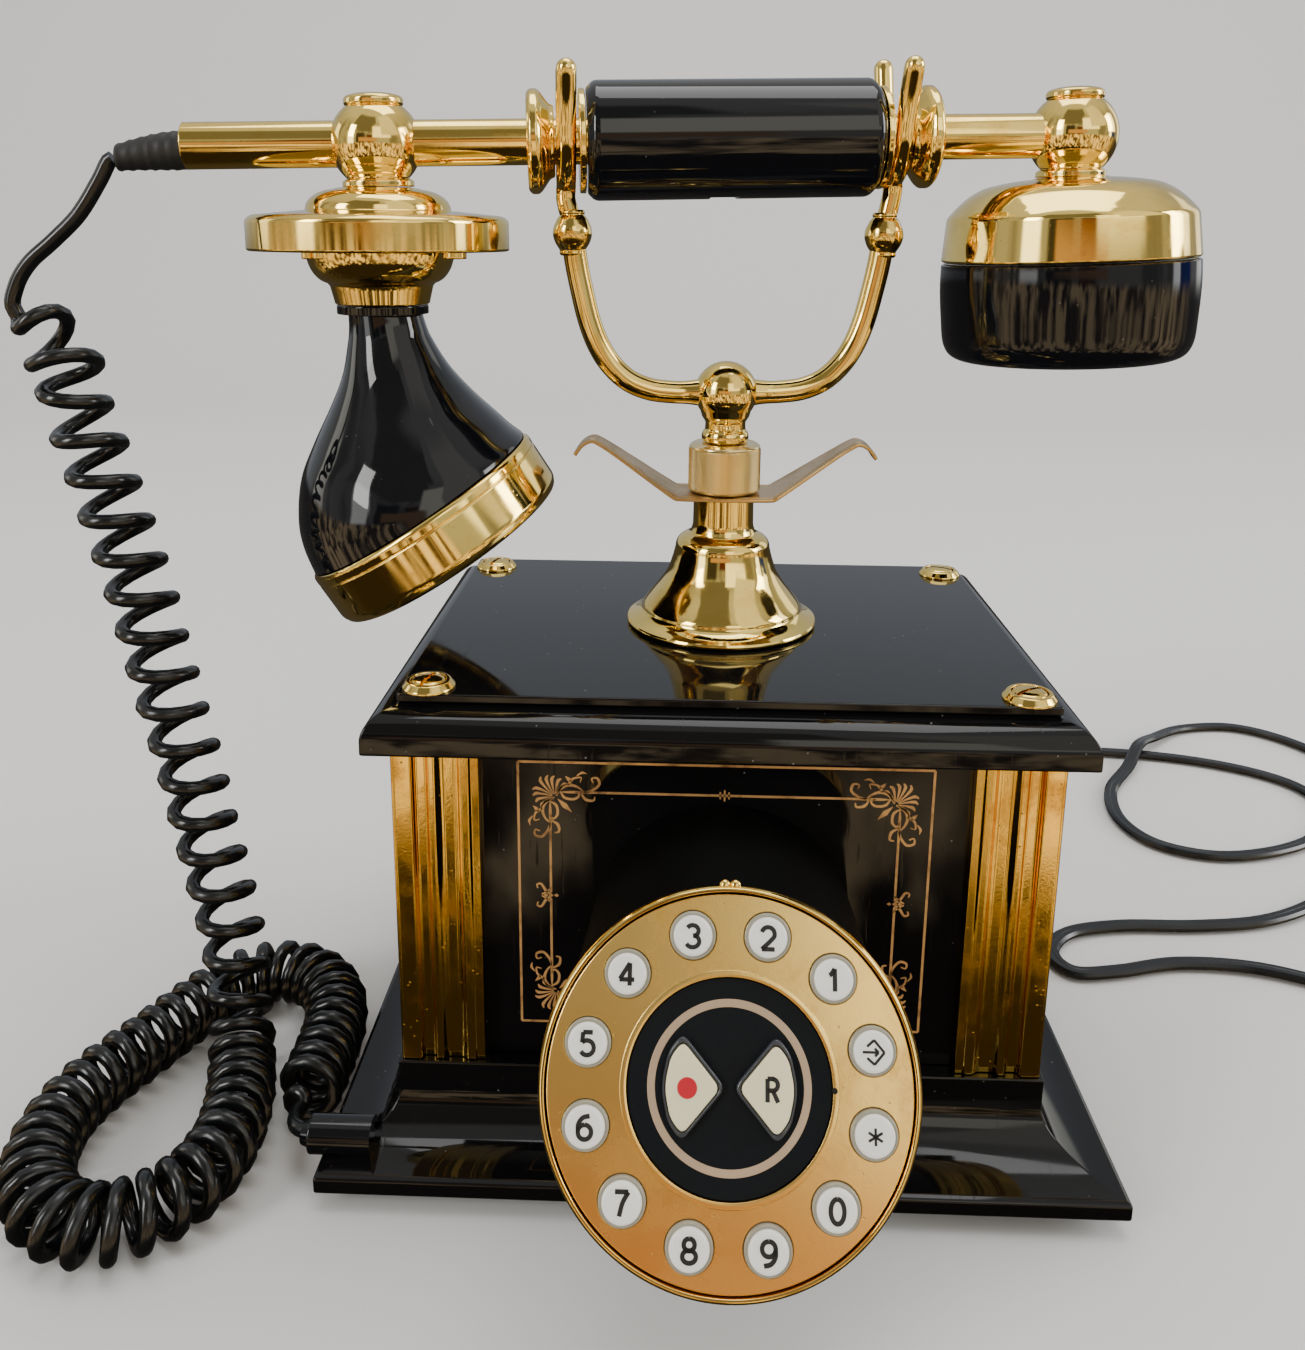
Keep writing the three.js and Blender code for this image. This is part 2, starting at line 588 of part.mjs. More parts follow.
/** Dome and brass band over the receiver cup, open below. */
function receiverCover() {
  const top = SEAT_LEVEL;
  const low = top - RECEIVER_COVER_HEIGHT;
  const wall = 1.6;
  const shoulder = (inset, drop) => [RECEIVER_RADIUS - inset, top - drop];
  const dome = [[9.4, top], shoulder(15, 0.9), shoulder(9.8, 1.9), shoulder(6.2, 3.8), shoulder(3.2, 6.4),
    shoulder(1.2, 8.8), [RECEIVER_RADIUS, low]];
  const inside = dome.slice(1).map(([radius, height]) => [radius - wall, Math.min(height, top - 2.6)])
    .reverse();
  inside[0][1] = low;
  return turned([[0, top], ...dome, ...inside, [0, top - 2.6]], 32);
}

/** Black ear cup: a deep ring with a dished, pierced mouth. */
function receiverCup() {
  const top = SEAT_LEVEL - RECEIVER_COVER_HEIGHT - GAP;
  const low = top - RECEIVER_CUP_HEIGHT;
  const wall = 2.4;
  return turnedRing([
    [RECEIVER_RADIUS, top], [RECEIVER_RADIUS + 0.2, top - 9], [RECEIVER_RADIUS - 0.5, low + 4.8],
    [RECEIVER_RADIUS - 1.8, low + 1.9], [RECEIVER_RADIUS - 4.8, low + 0.3], [RECEIVER_RADIUS - 11, low],
    [14, low + 4], [7, low + 6.5], [7, low + 6.5 + wall], [RECEIVER_RADIUS - 8, low + 6.5],
    [RECEIVER_RADIUS - 3, low + 12], [RECEIVER_RADIUS - wall, top],
  ], 32);
}

function earCapsule() {
  const high = SEAT_LEVEL - RECEIVER_COVER_HEIGHT - 6;
  return turned([[0, high - 10], [22, high - 7], [27, high - 3], [27, high], [0, high]], 20);
}

/** Dished brass disc with a stepped bowl and a threaded collar under it. */
function mouthDisc() {
  const top = SEAT_LEVEL;
  const rim = top - 6.9;
  return turned([
    [0, top], [8.6, top], [12, top - 1.6], [17, top - 5.2], [DISC_RADIUS - 1.2, rim],
    [DISC_RADIUS, rim - 1.2], [DISC_RADIUS, rim - DISC_HEIGHT + 1], [DISC_RADIUS - 1, rim - DISC_HEIGHT],
    [17, rim - DISC_HEIGHT], [15.4, top - 18.4], [12.6, top - 22.6], [11.9, top - 23.6],
    [11.7, top - 27.8], [11.2, top - 28], [11.2, top - 30], [8.4, top - 30], [8.4, top - 14],
    [0, top - 14],
  ], 28);
}

/** Stations of the bottle: centre x and z, radius and tilt in degrees, below the left ball. */
const BOTTLE_STATIONS = [
  [0.6, -40.8, 9.1, 0], [1.4, -47, 10.3, 2], [2.6, -54.5, 13.2, 4.5], [3.7, -61.6, 17.6, 6],
  [4.4, -69.3, 23.2, 9.3], [4.5, -75.2, 27.1, 13.3], [4.9, -81, 29.9, 20.5], [5.7, -84.8, 31.2, 26],
];
const MOUTH_RING_PLACE = { x: 7.4, z: -89.1 }; // centre of the ring's back edge

/** A circle facing down, tilted towards the receiver. */
function tiltedCircle(x, z, radius, tilt, sides) {
  return Array.from({ length: sides }, (_, i) => {
    const angle = (2 * Math.PI * i) / sides;
    return point(x + radius * Math.cos(angle) * Math.cos(tilt), radius * Math.sin(angle),
      z + radius * Math.cos(angle) * Math.sin(tilt));
  });
}

/** The bottle's form, shrunk by a wall and with its mouth end moved along the mouth's axis. */
function bottleForm(wall, overrun) {
  const sides = 24;
  const stations = BOTTLE_STATIONS.map(([x, z, radius, tilt], i) =>
    tiltedCircle(x, i === 0 ? z - wall : z, radius - wall, THREE.MathUtils.degToRad(tilt), sides));
  const back = overrun - GAP;
  const x = MOUTH_RING_PLACE.x + back * Math.sin(MOUTH_TILT);
  const z = MOUTH_RING_PLACE.z - back * Math.cos(MOUTH_TILT);
  stations.push(tiltedCircle(x, z, MOUTH_RING_RADIUS - 1 - wall, MOUTH_TILT, sides));
  return skin(stations);
}

const bottle = () => cut(bottleForm(0, 0), bottleForm(BOTTLE_WALL, 1));

/** Places a piece turned about -Z on the mouth's tilted axis. */
const atMouth = (geometry) => geometry.rotateY(-MOUTH_TILT)
  .translate(MOUTH_RING_PLACE.x, 0, MOUTH_RING_PLACE.z);

function mouthpieceRing() {
  const radius = MOUTH_RING_RADIUS;
  const bore = radius - 2.6;
  return atMouth(turnedRing([
    [bore, 0], [radius - 0.6, 0], [radius, -0.8], [radius, -MOUTH_RING_WIDTH + 2.4],
    [radius - 1, -MOUTH_RING_WIDTH + 0.6], [radius - 2.4, -MOUTH_RING_WIDTH],
    [bore - 3, -MOUTH_RING_WIDTH], [bore - 3, -MOUTH_RING_WIDTH + 1.5], [bore, -MOUTH_RING_WIDTH + 2.5],
  ], 32));
}

/** Microphone behind its pierced black grille. */
function micCapsule() {
  const radius = MOUTH_RING_RADIUS - 2.6 - GAP;
  const face = -MOUTH_RING_WIDTH + 2.5 + GAP;
  return atMouth(turned([[0, -1], [radius, -1], [radius, face], [radius - 4, face], [8, face + 1.5],
    [0, face + 1.8]], 24));
}

/** Tapered rubber sleeve where the cord leaves the tube. */
function cordBoot() {
  const start = -(TUBE_LEFT_END + GAP);
  const stations = [[0, -1, 4.4], [-5, -1.2, 4.2], [-11, -1.8, 3.6], [-BOOT_LENGTH, -2.5, 3.1]];
  return skin(stations.map(([x, z, radius]) => Array.from({ length: 12 }, (_, i) => {
    const angle = (2 * Math.PI * i) / 12;
    return point(start + x, radius * Math.cos(angle), z + radius * Math.sin(angle));
  })));
}

function buildHandset() {
  const turnedWithCradle = new THREE.Group();
  turnedWithCradle.position.z = HANDSET_HEIGHT;
  turnedWithCradle.rotation.z = CRADLE_TURN;
  const handset = new THREE.Group();
  handset.rotation.y = -HANDSET_LEAN;
  turnedWithCradle.add(handset);

  const tubeRightEnd = BALL_OFFSET + BALL_RADIUS - 4;
  const tube = alongTube([[TUBE_RADIUS - TUBE_WALL, -TUBE_LEFT_END], [TUBE_RADIUS, -TUBE_LEFT_END],
    [TUBE_RADIUS, tubeRightEnd - GAP], [TUBE_RADIUS - TUBE_WALL, tubeRightEnd - GAP]], 20);
  add(handset, 'handset_tube', tube, brass);
  add(handset, 'grip', grip(), blackPlastic);
  for (const [name, side] of [['left', -1], ['right', 1]]) {
    add(handset, `inner_flange_${name}`, innerFlange(side), brass);
    add(handset, `outer_flange_${name}`, outerFlange(side), brass);
  }
  add(handset, 'cord_boot', cordBoot(), rubber);

  const earEnd = new THREE.Group();
  earEnd.position.x = BALL_OFFSET;
  const earBall = ball([[-BALL_RADIUS - 1, BALL_RADIUS - 4]]);
  add(handset, 'ear_ball', earBall.translate(BALL_OFFSET, 0, 0), brass);
  earEnd.rotation.y = -EAR_END_LEAN;
  add(earEnd, 'receiver_cover', receiverCover(), brass);
  add(earEnd, 'receiver_cup', receiverCup(), blackPlastic);
  add(earEnd, 'ear_capsule', earCapsule(), mattBlack);
  handset.add(earEnd);

  const mouthEnd = new THREE.Group();
  mouthEnd.position.x = -BALL_OFFSET;
  const mouthBall = ball([[-BALL_RADIUS - 1, BALL_RADIUS + 1]]);
  add(handset, 'mouth_ball', mouthBall.translate(-BALL_OFFSET, 0, 0), brass);
  mouthEnd.rotation.y = -MOUTH_END_LEAN;
  add(mouthEnd, 'mouth_disc', mouthDisc(), brass);
  add(mouthEnd, 'mouthpiece', bottle(), blackPlastic);
  add(mouthEnd, 'mouthpiece_ring', mouthpieceRing(), brass);
  add(mouthEnd, 'mic_capsule', micCapsule(), mattBlack);
  handset.add(mouthEnd);
  return turnedWithCradle;
}

// ---------------------------------------------------------------------------------------------
// Dial: a drum on the front panel with a brass face, twelve keys and two function keys
// ---------------------------------------------------------------------------------------------

const PLATE_FACE_RADIUS = DIAL_RADIUS - RIM_WIDTH - GAP;
const KEY_CIRCLE_RADIUS = PLATE_FACE_RADIUS - KEY_MARGIN - KEY_RADIUS - GAP;
const CENTRE_RADIUS = KEY_CIRCLE_RADIUS - KEY_RADIUS - CENTRE_MARGIN - 2 * GAP;
const FRONT_FACE_Y = -BODY_DEPTH / 2;
const DIAL_CENTRE = point(0, FRONT_FACE_Y - DIAL_REACH, DIAL_HEIGHT);

/** Function key outline: a rounded triangle pointing at the dial's middle, enlarged by a factor. */
function functionKeyShape(side, enlarged) {
  const corners = [ // distance from the dial's middle, height
    [2.2, -0.7], [7.7, -6.6], [9.1, -7.1], [10.3, -6.2], [11.7, -3.4], [12.4, 0], [11.7, 3.4],
    [10.3, 6.2], [9.1, 7.1], [7.7, 6.6], [2.2, 0.7],
  ];
  const heart = 8.3;
  return new THREE.Shape(corners.map(([x, y]) =>
    new THREE.Vector2(side * (heart + (x - heart) * enlarged), y * enlarged)));
}

const keyAngle = (index) => Math.PI / 2 - Math.PI / KEY_COUNT - (2 * Math.PI * index) / KEY_COUNT;

/** Outer drum from the dial's back to the front panel, open through its middle. */
function dialDrum() {
  const sides = 32;
  const panelY = -PANEL_HALF_DEPTH - GAP;
  const circle = (radius, back) => Array.from({ length: sides }, (_, i) => {
    const angle = (2 * Math.PI * i) / sides;
    const [across, up] = [radius * Math.cos(angle), radius * Math.sin(angle)];
    return point(across, DIAL_CENTRE.y + up * Math.sin(DIAL_TILT) + back * Math.cos(DIAL_TILT),
      DIAL_CENTRE.z + up * Math.cos(DIAL_TILT) - back * Math.sin(DIAL_TILT));
  });
  const wallCircle = (radius) => Array.from({ length: sides }, (_, i) => {
    const angle = (2 * Math.PI * i) / sides;
    return point(radius * Math.cos(angle), panelY, DIAL_CENTRE.z + radius * Math.sin(angle));
  });
  const [front, shoulder] = [DIAL_PLATE_THICKNESS + GAP, 8];
  return skin([
    circle(PLATE_FACE_RADIUS, front), circle(PLATE_FACE_RADIUS, shoulder),
    wallCircle(DRUM_BACK_RADIUS), wallCircle(DRUM_BACK_RADIUS - DRUM_WALL),
    circle(PLATE_FACE_RADIUS - DRUM_WALL, shoulder), circle(PLATE_FACE_RADIUS - DRUM_WALL, front),
  ], true);
}

function dialPlate() {
  const face = roundSection(PLATE_FACE_RADIUS, 40);
  const hole = (x, y, radius) => new THREE.Path().absarc(x, y, radius, 0, 2 * Math.PI, true);
  face.holes.push(hole(0, 0, CENTRE_RADIUS + GAP));
  for (let key = 0; key < KEY_COUNT; key++) {
    const angle = keyAngle(key);
    face.holes.push(hole(KEY_CIRCLE_RADIUS * Math.cos(angle), KEY_CIRCLE_RADIUS * Math.sin(angle),
      KEY_RADIUS + GAP));
  }
  return new THREE.ExtrudeGeometry(face,
    { depth: DIAL_PLATE_THICKNESS, bevelEnabled: false, curveSegments: 10 })
    .translate(0, 0, -DIAL_PLATE_THICKNESS);
}

function centreDisc() {
  const disc = roundSection(CENTRE_RADIUS, 32);
  for (const side of [-1, 1]) disc.holes.push(functionKeyShape(side, 1.09));
  return new THREE.ExtrudeGeometry(disc,
    { depth: DIAL_PLATE_THICKNESS, bevelEnabled: false, curveSegments: 3 })
    .translate(0, 0, -DIAL_PLATE_THICKNESS - 0.4);
}

function dialRim() {
  const bore = DIAL_RADIUS - RIM_WIDTH;
  return turnedRing([[bore, -5.5], [DIAL_RADIUS - 0.3, -5.5], [DIAL_RADIUS, -5], [DIAL_RADIUS, -0.4],
    [DIAL_RADIUS - 0.5, 0.3], [bore, 0.3]], 40);
}

/** A round key with a hidden flange that keeps it in the plate. */
function roundKey() {
  const under = -DIAL_PLATE_THICKNESS - GAP;
  return turned([[0, under - 1], [KEY_RADIUS + 0.6, under - 1], [KEY_RADIUS + 0.6, under],
    [KEY_RADIUS, under], [KEY_RADIUS, 0.6], [KEY_RADIUS - 0.7, KEY_PROUD - 0.1],
    [0, KEY_PROUD]], 12);
}

function functionKey(side) {
  const under = -DIAL_PLATE_THICKNESS - 0.4;
  return new THREE.ExtrudeGeometry(functionKeyShape(side, 1),
    { depth: -under + 1.4, bevelEnabled: false, curveSegments: 3 }).translate(0, 0, under);
}

const KEY_NAMES = ['2', '1', 'redial', 'star', '0', '9', '8', '7', '6', '5', '4', '3'];

function buildDial() {
  const dial = new THREE.Group();
  add(dial, 'dial_housing', dialDrum(), lacquer);
  const face = new THREE.Group(); // local +Z looks out of the dial
  face.position.copy(DIAL_CENTRE);
  face.rotation.x = Math.PI / 2 - DIAL_TILT;
  dial.add(face);
  add(face, 'dial_plate', dialPlate(), brass);
  add(face, 'dial_rim', dialRim(), brass);
  add(face, 'centre_disc', centreDisc(), mattBlack);
  KEY_NAMES.forEach((name, index) => {
    const key = add(face, `key_${name}`, roundKey(), keyPlastic);
    const angle = keyAngle(index);
    key.position.set(KEY_CIRCLE_RADIUS * Math.cos(angle), KEY_CIRCLE_RADIUS * Math.sin(angle), 0);
  });
  add(face, 'key_mute', functionKey(-1), creamPlastic);
  add(face, 'key_recall', functionKey(1), creamPlastic);
  return dial;
}

// ---------------------------------------------------------------------------------------------
// Cords, lying on the floor where they don't hang
// ---------------------------------------------------------------------------------------------

/** Straight end of the handset cord, from the boot to the first curl. */
const HANDSET_LEAD_ROUTE = [
  [-147.8, -16.85, 239.6], [-149, -16.95, 238.8], [-151.8, -17.1, 234.1], [-157.3, -17.4, 226.4],
  [-163.9, -17.7, 220.3], [-170.2, -18, 215], [-174, -18.2, 209.4], [-174.9, -18.4, 203.5],
];

/** Axis of the curls: down from the lead, round a loop on the floor and back to the jack. */
const CURL_ROUTE = [
  [-168, -18.4, 197.5], [-163.2, -18.4, 190], [-161.8, -18.4, 180], [-158.6, -18.4, 169],
  [-156, -18.4, 158], [-153, -18.4, 146], [-149.8, -18.4, 132], [-147, -18.6, 117],
  [-144.2, -18.8, 102], [-141, -19, 87], [-138.4, -19.4, 72], [-135.6, -20, 57],
  [-132.6, -21, 42], [-130, -23.5, 27], [-127.4, -30, 14.5], [-123.6, -41, 9.2], [-120, -53, 8.9],
  [-118.6, -66, 8.9], [-121.2, -78, 8.9], [-128.6, -87, 8.9], [-139, -91, 8.9], [-149.4, -88.2, 8.9],
  [-157, -80, 8.9], [-161, -69, 8.9], [-161.6, -57, 8.9], [-158.4, -45, 8.9], [-153, -33, 8.9],
  [-147.4, -20, 8.9], [-141, -7, 8.9], [-131, 0.6, 8.9], [-119, 0, 8.9], [-109.6, -8, 8.9],
  [-105, -20, 8.9], [-103.8, -33, 8.9], [-103.8, -46, 8.9], [-103.9, -54, 9.4],
];

/** Flat line cord: out of the grommet, through loose loops and away to its coil. */
const LINE_CORD_ROUTE = [
  [48, 84.5, 14], [48.3, 91, 12.8], [49.4, 99, 7.4], [52.6, 108, 3], [60, 120, 2], [74, 136, 2],
  [96, 156, 2], [124, 173, 2], [156, 183, 2], [192, 181, 2], [222, 172, 2], [242, 157, 2],
  [247, 137, 2], [236, 116, 2], [214, 101, 2], [188, 95, 2], [168, 103, 2], [161, 122, 2],
  [166, 146, 2], [180, 166, 3.4], [190, 182, 6.2], [202, 196, 3.6], [220, 210, 2], [244, 213, 2],
  [262, 200, 2], [272, 178, 2], [273, 150, 2], [262, 122, 2], [244, 100, 2], [226, 80, 2],
  [206, 64, 2], [184, 53, 2], [160, 49, 2], [136, 48, 2], [117, 43, 2], [108, 32, 2], [112, 22, 2],
  [126, 23, 2], [146, 28, 2], [168, 27, 2], [186, 20, 2], [199, 9.8, 2],
];
const LINE_COIL_PLACE = point(233, -8, 0);
const LINE_COIL_HEIGHT = 10;

const toPoints = (route) => route.map(([x, y, z]) => point(x, y, z));

/** Flat section with rounded edges, narrow side up. */
function flatSection() {
  const [w, t] = [LINE_CORD_WIDTH / 2, LINE_CORD_THICKNESS / 2];
  return new THREE.Shape([[w, 0], [w - 0.5, t], [0.5 - w, t], [-w, 0], [0.5 - w, -t], [w - 0.5, -t]]
    .map(([x, y]) => new THREE.Vector2(x, y)));
}

/** Sweeps the flat section level along a route, its width across the direction of travel. */
function flatCord(route, steps) {
  const curve = new THREE.CatmullRomCurve3(toPoints(route));
  const section = flatSection().getPoints();
  const up = point(0, 0, 1);
  return skin(Array.from({ length: steps + 1 }, (_, i) => {
    const centre = curve.getPointAt(i / steps);
    const across = curve.getTangentAt(i / steps).cross(up).normalize();
    return section.map((corner) => centre.clone().addScaledVector(across, corner.x)
      .add(point(0, 0, corner.y)));
  }));
}

function buildCords() {
  const cords = new THREE.Group();
  add(cords, 'handset_cord_lead',
    swept(roundSection(HANDSET_CORD_DIAMETER / 2, 8), toPoints(HANDSET_LEAD_ROUTE), 14), rubber);
  add(cords, 'handset_cord_curl',
    swept(roundSection(CURL_DIAMETER / 2, 10), toPoints(CURL_ROUTE), 46), rubber);
  add(cords, 'line_cord', flatCord(LINE_CORD_ROUTE, 78), rubber);
  const coilHalf = 8;
  const coil = turnedRing([[LINE_COIL_RADIUS - coilHalf, 0.6], [LINE_COIL_RADIUS + coilHalf, 0.6],
    [LINE_COIL_RADIUS + coilHalf, LINE_COIL_HEIGHT], [LINE_COIL_RADIUS - coilHalf, LINE_COIL_HEIGHT]], 24);
  coil.translate(LINE_COIL_PLACE.x, LINE_COIL_PLACE.y, 0);
  add(cords, 'line_coil', coil, rubber);
  const plug = block(point(-5, -7, 0.5), point(5, 7, 7.3)).rotateZ(0.5)
    .translate(LINE_COIL_PLACE.x, LINE_COIL_PLACE.y, 0);
  add(cords, 'line_plug', plug, keyPlastic);
  return cords;
}

// ---------------------------------------------------------------------------------------------
// Assembly
// ---------------------------------------------------------------------------------------------

const telephone = new THREE.Group();
telephone.add(buildBase(), buildStem(), buildCradle(), buildHandset(), buildDial());

// The origin is the middle of the telephone's own box, at the floor; its cords don't count.
telephone.updateMatrixWorld(true);
const box = new THREE.Box3().setFromObject(telephone, true);
const middle = box.getCenter(new THREE.Vector3());
telephone.add(buildCords());
telephone.position.set(-middle.x, -middle.y, 0);

export default telephone;
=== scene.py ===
"""A column telephone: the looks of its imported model.

A lacquered box with gilt lines and brass columns carries a push-button dial on a drum, a turned
stem with a sprung, forked cradle, and a brass handset with a curled cord. Sizes are in millimetres
in each piece's own frame, and a placing matrix takes them to the model's frame in metres.
"""

from __future__ import annotations

import json
import logging
import math
import random
from dataclasses import dataclass, field
from enum import Enum
from typing import Callable, Iterable, Sequence

import bpy
from mathutils import Matrix, Vector

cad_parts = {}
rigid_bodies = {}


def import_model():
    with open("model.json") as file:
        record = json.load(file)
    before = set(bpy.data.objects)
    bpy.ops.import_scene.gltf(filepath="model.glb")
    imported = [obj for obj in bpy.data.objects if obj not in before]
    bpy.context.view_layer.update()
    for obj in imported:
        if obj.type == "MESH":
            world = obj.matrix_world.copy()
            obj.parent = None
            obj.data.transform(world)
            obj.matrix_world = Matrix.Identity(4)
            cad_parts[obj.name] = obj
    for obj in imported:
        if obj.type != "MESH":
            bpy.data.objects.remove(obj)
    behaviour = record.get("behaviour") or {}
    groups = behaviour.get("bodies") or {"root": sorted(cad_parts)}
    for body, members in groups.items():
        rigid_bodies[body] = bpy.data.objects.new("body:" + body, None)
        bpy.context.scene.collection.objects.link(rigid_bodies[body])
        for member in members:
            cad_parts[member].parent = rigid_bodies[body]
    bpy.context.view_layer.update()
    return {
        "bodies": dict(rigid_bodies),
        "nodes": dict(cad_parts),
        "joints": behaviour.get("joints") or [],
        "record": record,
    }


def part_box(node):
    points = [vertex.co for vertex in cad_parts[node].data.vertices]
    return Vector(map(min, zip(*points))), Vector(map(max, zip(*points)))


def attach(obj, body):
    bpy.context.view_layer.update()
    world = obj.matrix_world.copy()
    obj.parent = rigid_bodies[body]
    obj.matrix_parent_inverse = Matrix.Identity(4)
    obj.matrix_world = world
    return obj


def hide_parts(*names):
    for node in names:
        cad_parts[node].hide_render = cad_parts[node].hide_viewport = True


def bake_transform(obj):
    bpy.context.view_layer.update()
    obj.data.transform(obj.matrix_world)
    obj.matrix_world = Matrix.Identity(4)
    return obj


LOG = logging.getLogger("telephone")
MM = 0.001
TURN = 2.0 * math.pi
SEED = 7
SMOOTH_BELOW = math.radians(32.0)

Corner = Sequence[float]
Outline = list[Vector]
Material = bpy.types.Material
Mesh = bpy.types.Mesh
Socket = bpy.types.NodeSocket
Node = bpy.types.Node
NodeTree = bpy.types.NodeTree


# ----------------------------------------------------------------------------------------------
# Shapes: vertices and faces, in millimetres
# ----------------------------------------------------------------------------------------------


@dataclass
class Shape:
    """A surface made of points and faces."""

    points: list[Vector] = field(default_factory=list)
    faces: list[tuple[int, ...]] = field(default_factory=list)

    def row(self, outline: Iterable[Vector]) -> list[int]:
        """Adds a row of points and returns their indices."""
        start = len(self.points)
        self.points.extend(Vector(p) for p in outline)
        return list(range(start, len(self.points)))

    def bridge(self, low: list[int], high: list[int]) -> None:
        """Joins two closed rows with faces; a row of one point is a pole."""
        count = max(len(low), len(high))
        for i in range(count):
            j = (i + 1) % count
            ring = [low[i % len(low)], low[j % len(low)], high[j % len(high)], high[i % len(high)]]
            face = tuple(dict.fromkeys(ring))
            if len(face) > 2:
                self.faces.append(face)

    def join(self, *others: Shape) -> Shape:
        """Adds other shapes to this one and returns it."""
        for other in others:
            start = len(self.points)
            self.points.extend(other.points)
            self.faces.extend(tuple(i + start for i in face) for face in other.faces)
        return self

    def moved(self, place: Matrix) -> Shape:
        """Returns a copy placed by a matrix."""
        copy = Shape([place @ p for p in self.points], list(self.faces))
        if place.determinant() < 0.0:
            copy.faces = [tuple(reversed(face)) for face in copy.faces]
        return copy

    def volume(self) -> float:
        """Returns the signed volume, which is positive when the faces point out."""
        total = 0.0
        for face in self.faces:
            first = self.points[face[0]]
            for i in range(1, len(face) - 1):
                total += first.dot(self.points[face[i]].cross(self.points[face[i + 1]]))
        return total

    def outward(self) -> Shape:
        """Turns the faces outward and returns the shape."""
        if self.volume() < 0.0:
            self.faces = [tuple(reversed(face)) for face in self.faces]
        return self


def rounded(corners: Sequence[Corner], steps: int = 4, closed: bool = False) -> list[Vector]:
    """Rounds the corners of a profile.

    Args:
        corners: (across, along) or (across, along, rounding) for each corner.
        steps: how many segments a rounding has.
        closed: whether the last corner joins the first.

    Returns:
        The points of the profile, with a holding point beside each rounding.
    """
    flat = [Vector((c[0], c[1])) for c in corners]
    count = len(flat)
    line: list[Vector] = []
    for i, corner in enumerate(corners):
        here = flat[i]
        is_end = not closed and i in (0, count - 1)
        if len(corner) < 3 or corner[2] <= 0.0 or is_end:
            line.append(here)
            continue
        before, after = flat[i - 1] - here, flat[(i + 1) % count] - here
        reach = min(corner[2], 0.42 * before.length, 0.42 * after.length)
        start = here + before.normalized() * reach
        end = here + after.normalized() * reach
        line.append(here + before.normalized() * reach * 1.15)
        for k in range(steps + 1):
            t = k / steps
            line.append(start * (1 - t) ** 2 + here * 2 * t * (1 - t) + end * t**2)
        line.append(here + after.normalized() * reach * 1.15)
    return line


def arc(centre: Corner, radii: Corner, start: float, end: float, steps: int = 10) -> list[Corner]:
    """Returns the points of part of an ellipse, with its angles in degrees."""
    angles = (math.radians(start + (end - start) * i / steps) for i in range(steps + 1))
    return [(centre[0] + radii[0] * math.cos(a), centre[1] + radii[1] * math.sin(a)) for a in angles]


def revolved(profile: Sequence[Corner], segments: int = 96, closed: bool = False) -> Shape:
    """Turns a profile of (radius, height) about Z; a closed profile makes a ring."""
    shape = Shape()
    rows = []
    for radius, height in (p[:2] for p in profile):
        if radius < 1e-6:
            rows.append(shape.row([Vector((0, 0, height))]))
        else:
            rows.append(shape.row(
                Vector((radius * math.cos(a), radius * math.sin(a), height))
                for a in (TURN * i / segments for i in range(segments))))
    for low, high in zip(rows, rows[1:] + (rows[:1] if closed else [])):
        shape.bridge(low, high)
    return shape.outward()


def lofted(outlines: Sequence[Outline], looped: bool = False) -> Shape:
    """Joins outlines of equal counts, capping the ends or looping back to the first."""
    shape = Shape()
    rows = [shape.row(outline) for outline in outlines]
    for low, high in zip(rows, rows[1:] + (rows[:1] if looped else [])):
        shape.bridge(low, high)
    if not looped:
        shape.faces.append(tuple(reversed(rows[0])))
        shape.faces.append(tuple(rows[-1]))
    return shape.outward()


def frame_ring(half_width: float, half_depth: float, profile: Sequence[Corner],
               corner: float = 0.5) -> Shape:
    """Makes a mitred moulding round a rectangle.

    Args:
        half_width: half the rectangle's size along X.
        half_depth: half the rectangle's size along Y.
        profile: a closed section of (distance out from the rectangle, height).
        corner: how far the mitres are eased.
    """
    steps = 3
    outlines = []
    for out, height in (p[:2] for p in profile):
        x, y = half_width + out - corner, half_depth + out - corner
        outline = []
        for quarter, (sx, sy) in enumerate([(1, 1), (-1, 1), (-1, -1), (1, -1)]):
            for k in range(steps + 1):
                a = math.radians(90 * quarter + 90 * k / steps)
                outline.append(Vector((sx * x + corner * math.cos(a), sy * y + corner * math.sin(a),
                                       height)))
        outlines.append(outline)
    return lofted(outlines, looped=True)


def spline(points: Sequence[Corner], steps: int) -> list[Vector]:
    """Returns a smooth line through the points, with so many steps between neighbours."""
    knots = [Vector(p) for p in points]
    knots = [knots[0] * 2 - knots[1], *knots, knots[-1] * 2 - knots[-2]]
    line = []
    for a, b, c, d in zip(knots, knots[1:], knots[2:], knots[3:]):
        for k in range(steps):
            t = k / steps
            line.append(0.5 * (2 * b + (c - a) * t + (2 * a - 5 * b + 4 * c - d) * t**2
                               + (3 * b - a - 3 * c + d) * t**3))
    return [*line, knots[-2].copy()]


def travel(line: Sequence[Vector]) -> list[tuple[Vector, Vector, Vector]]:
    """Returns (forward, side, up) directions along a line, carried along it without twisting."""
    count = len(line)
    forward = [(line[min(i + 1, count - 1)] - line[max(i - 1, 0)]).normalized() for i in range(count)]
    helper = Vector((0, 0, 1)) if abs(forward[0].z) < 0.9 else Vector((0, 1, 0))
    side = forward[0].cross(helper).normalized()
    result = []
    for ahead in forward:
        side = (side - ahead * side.dot(ahead)).normalized()
        result.append((ahead, side, side.cross(ahead)))
    return result


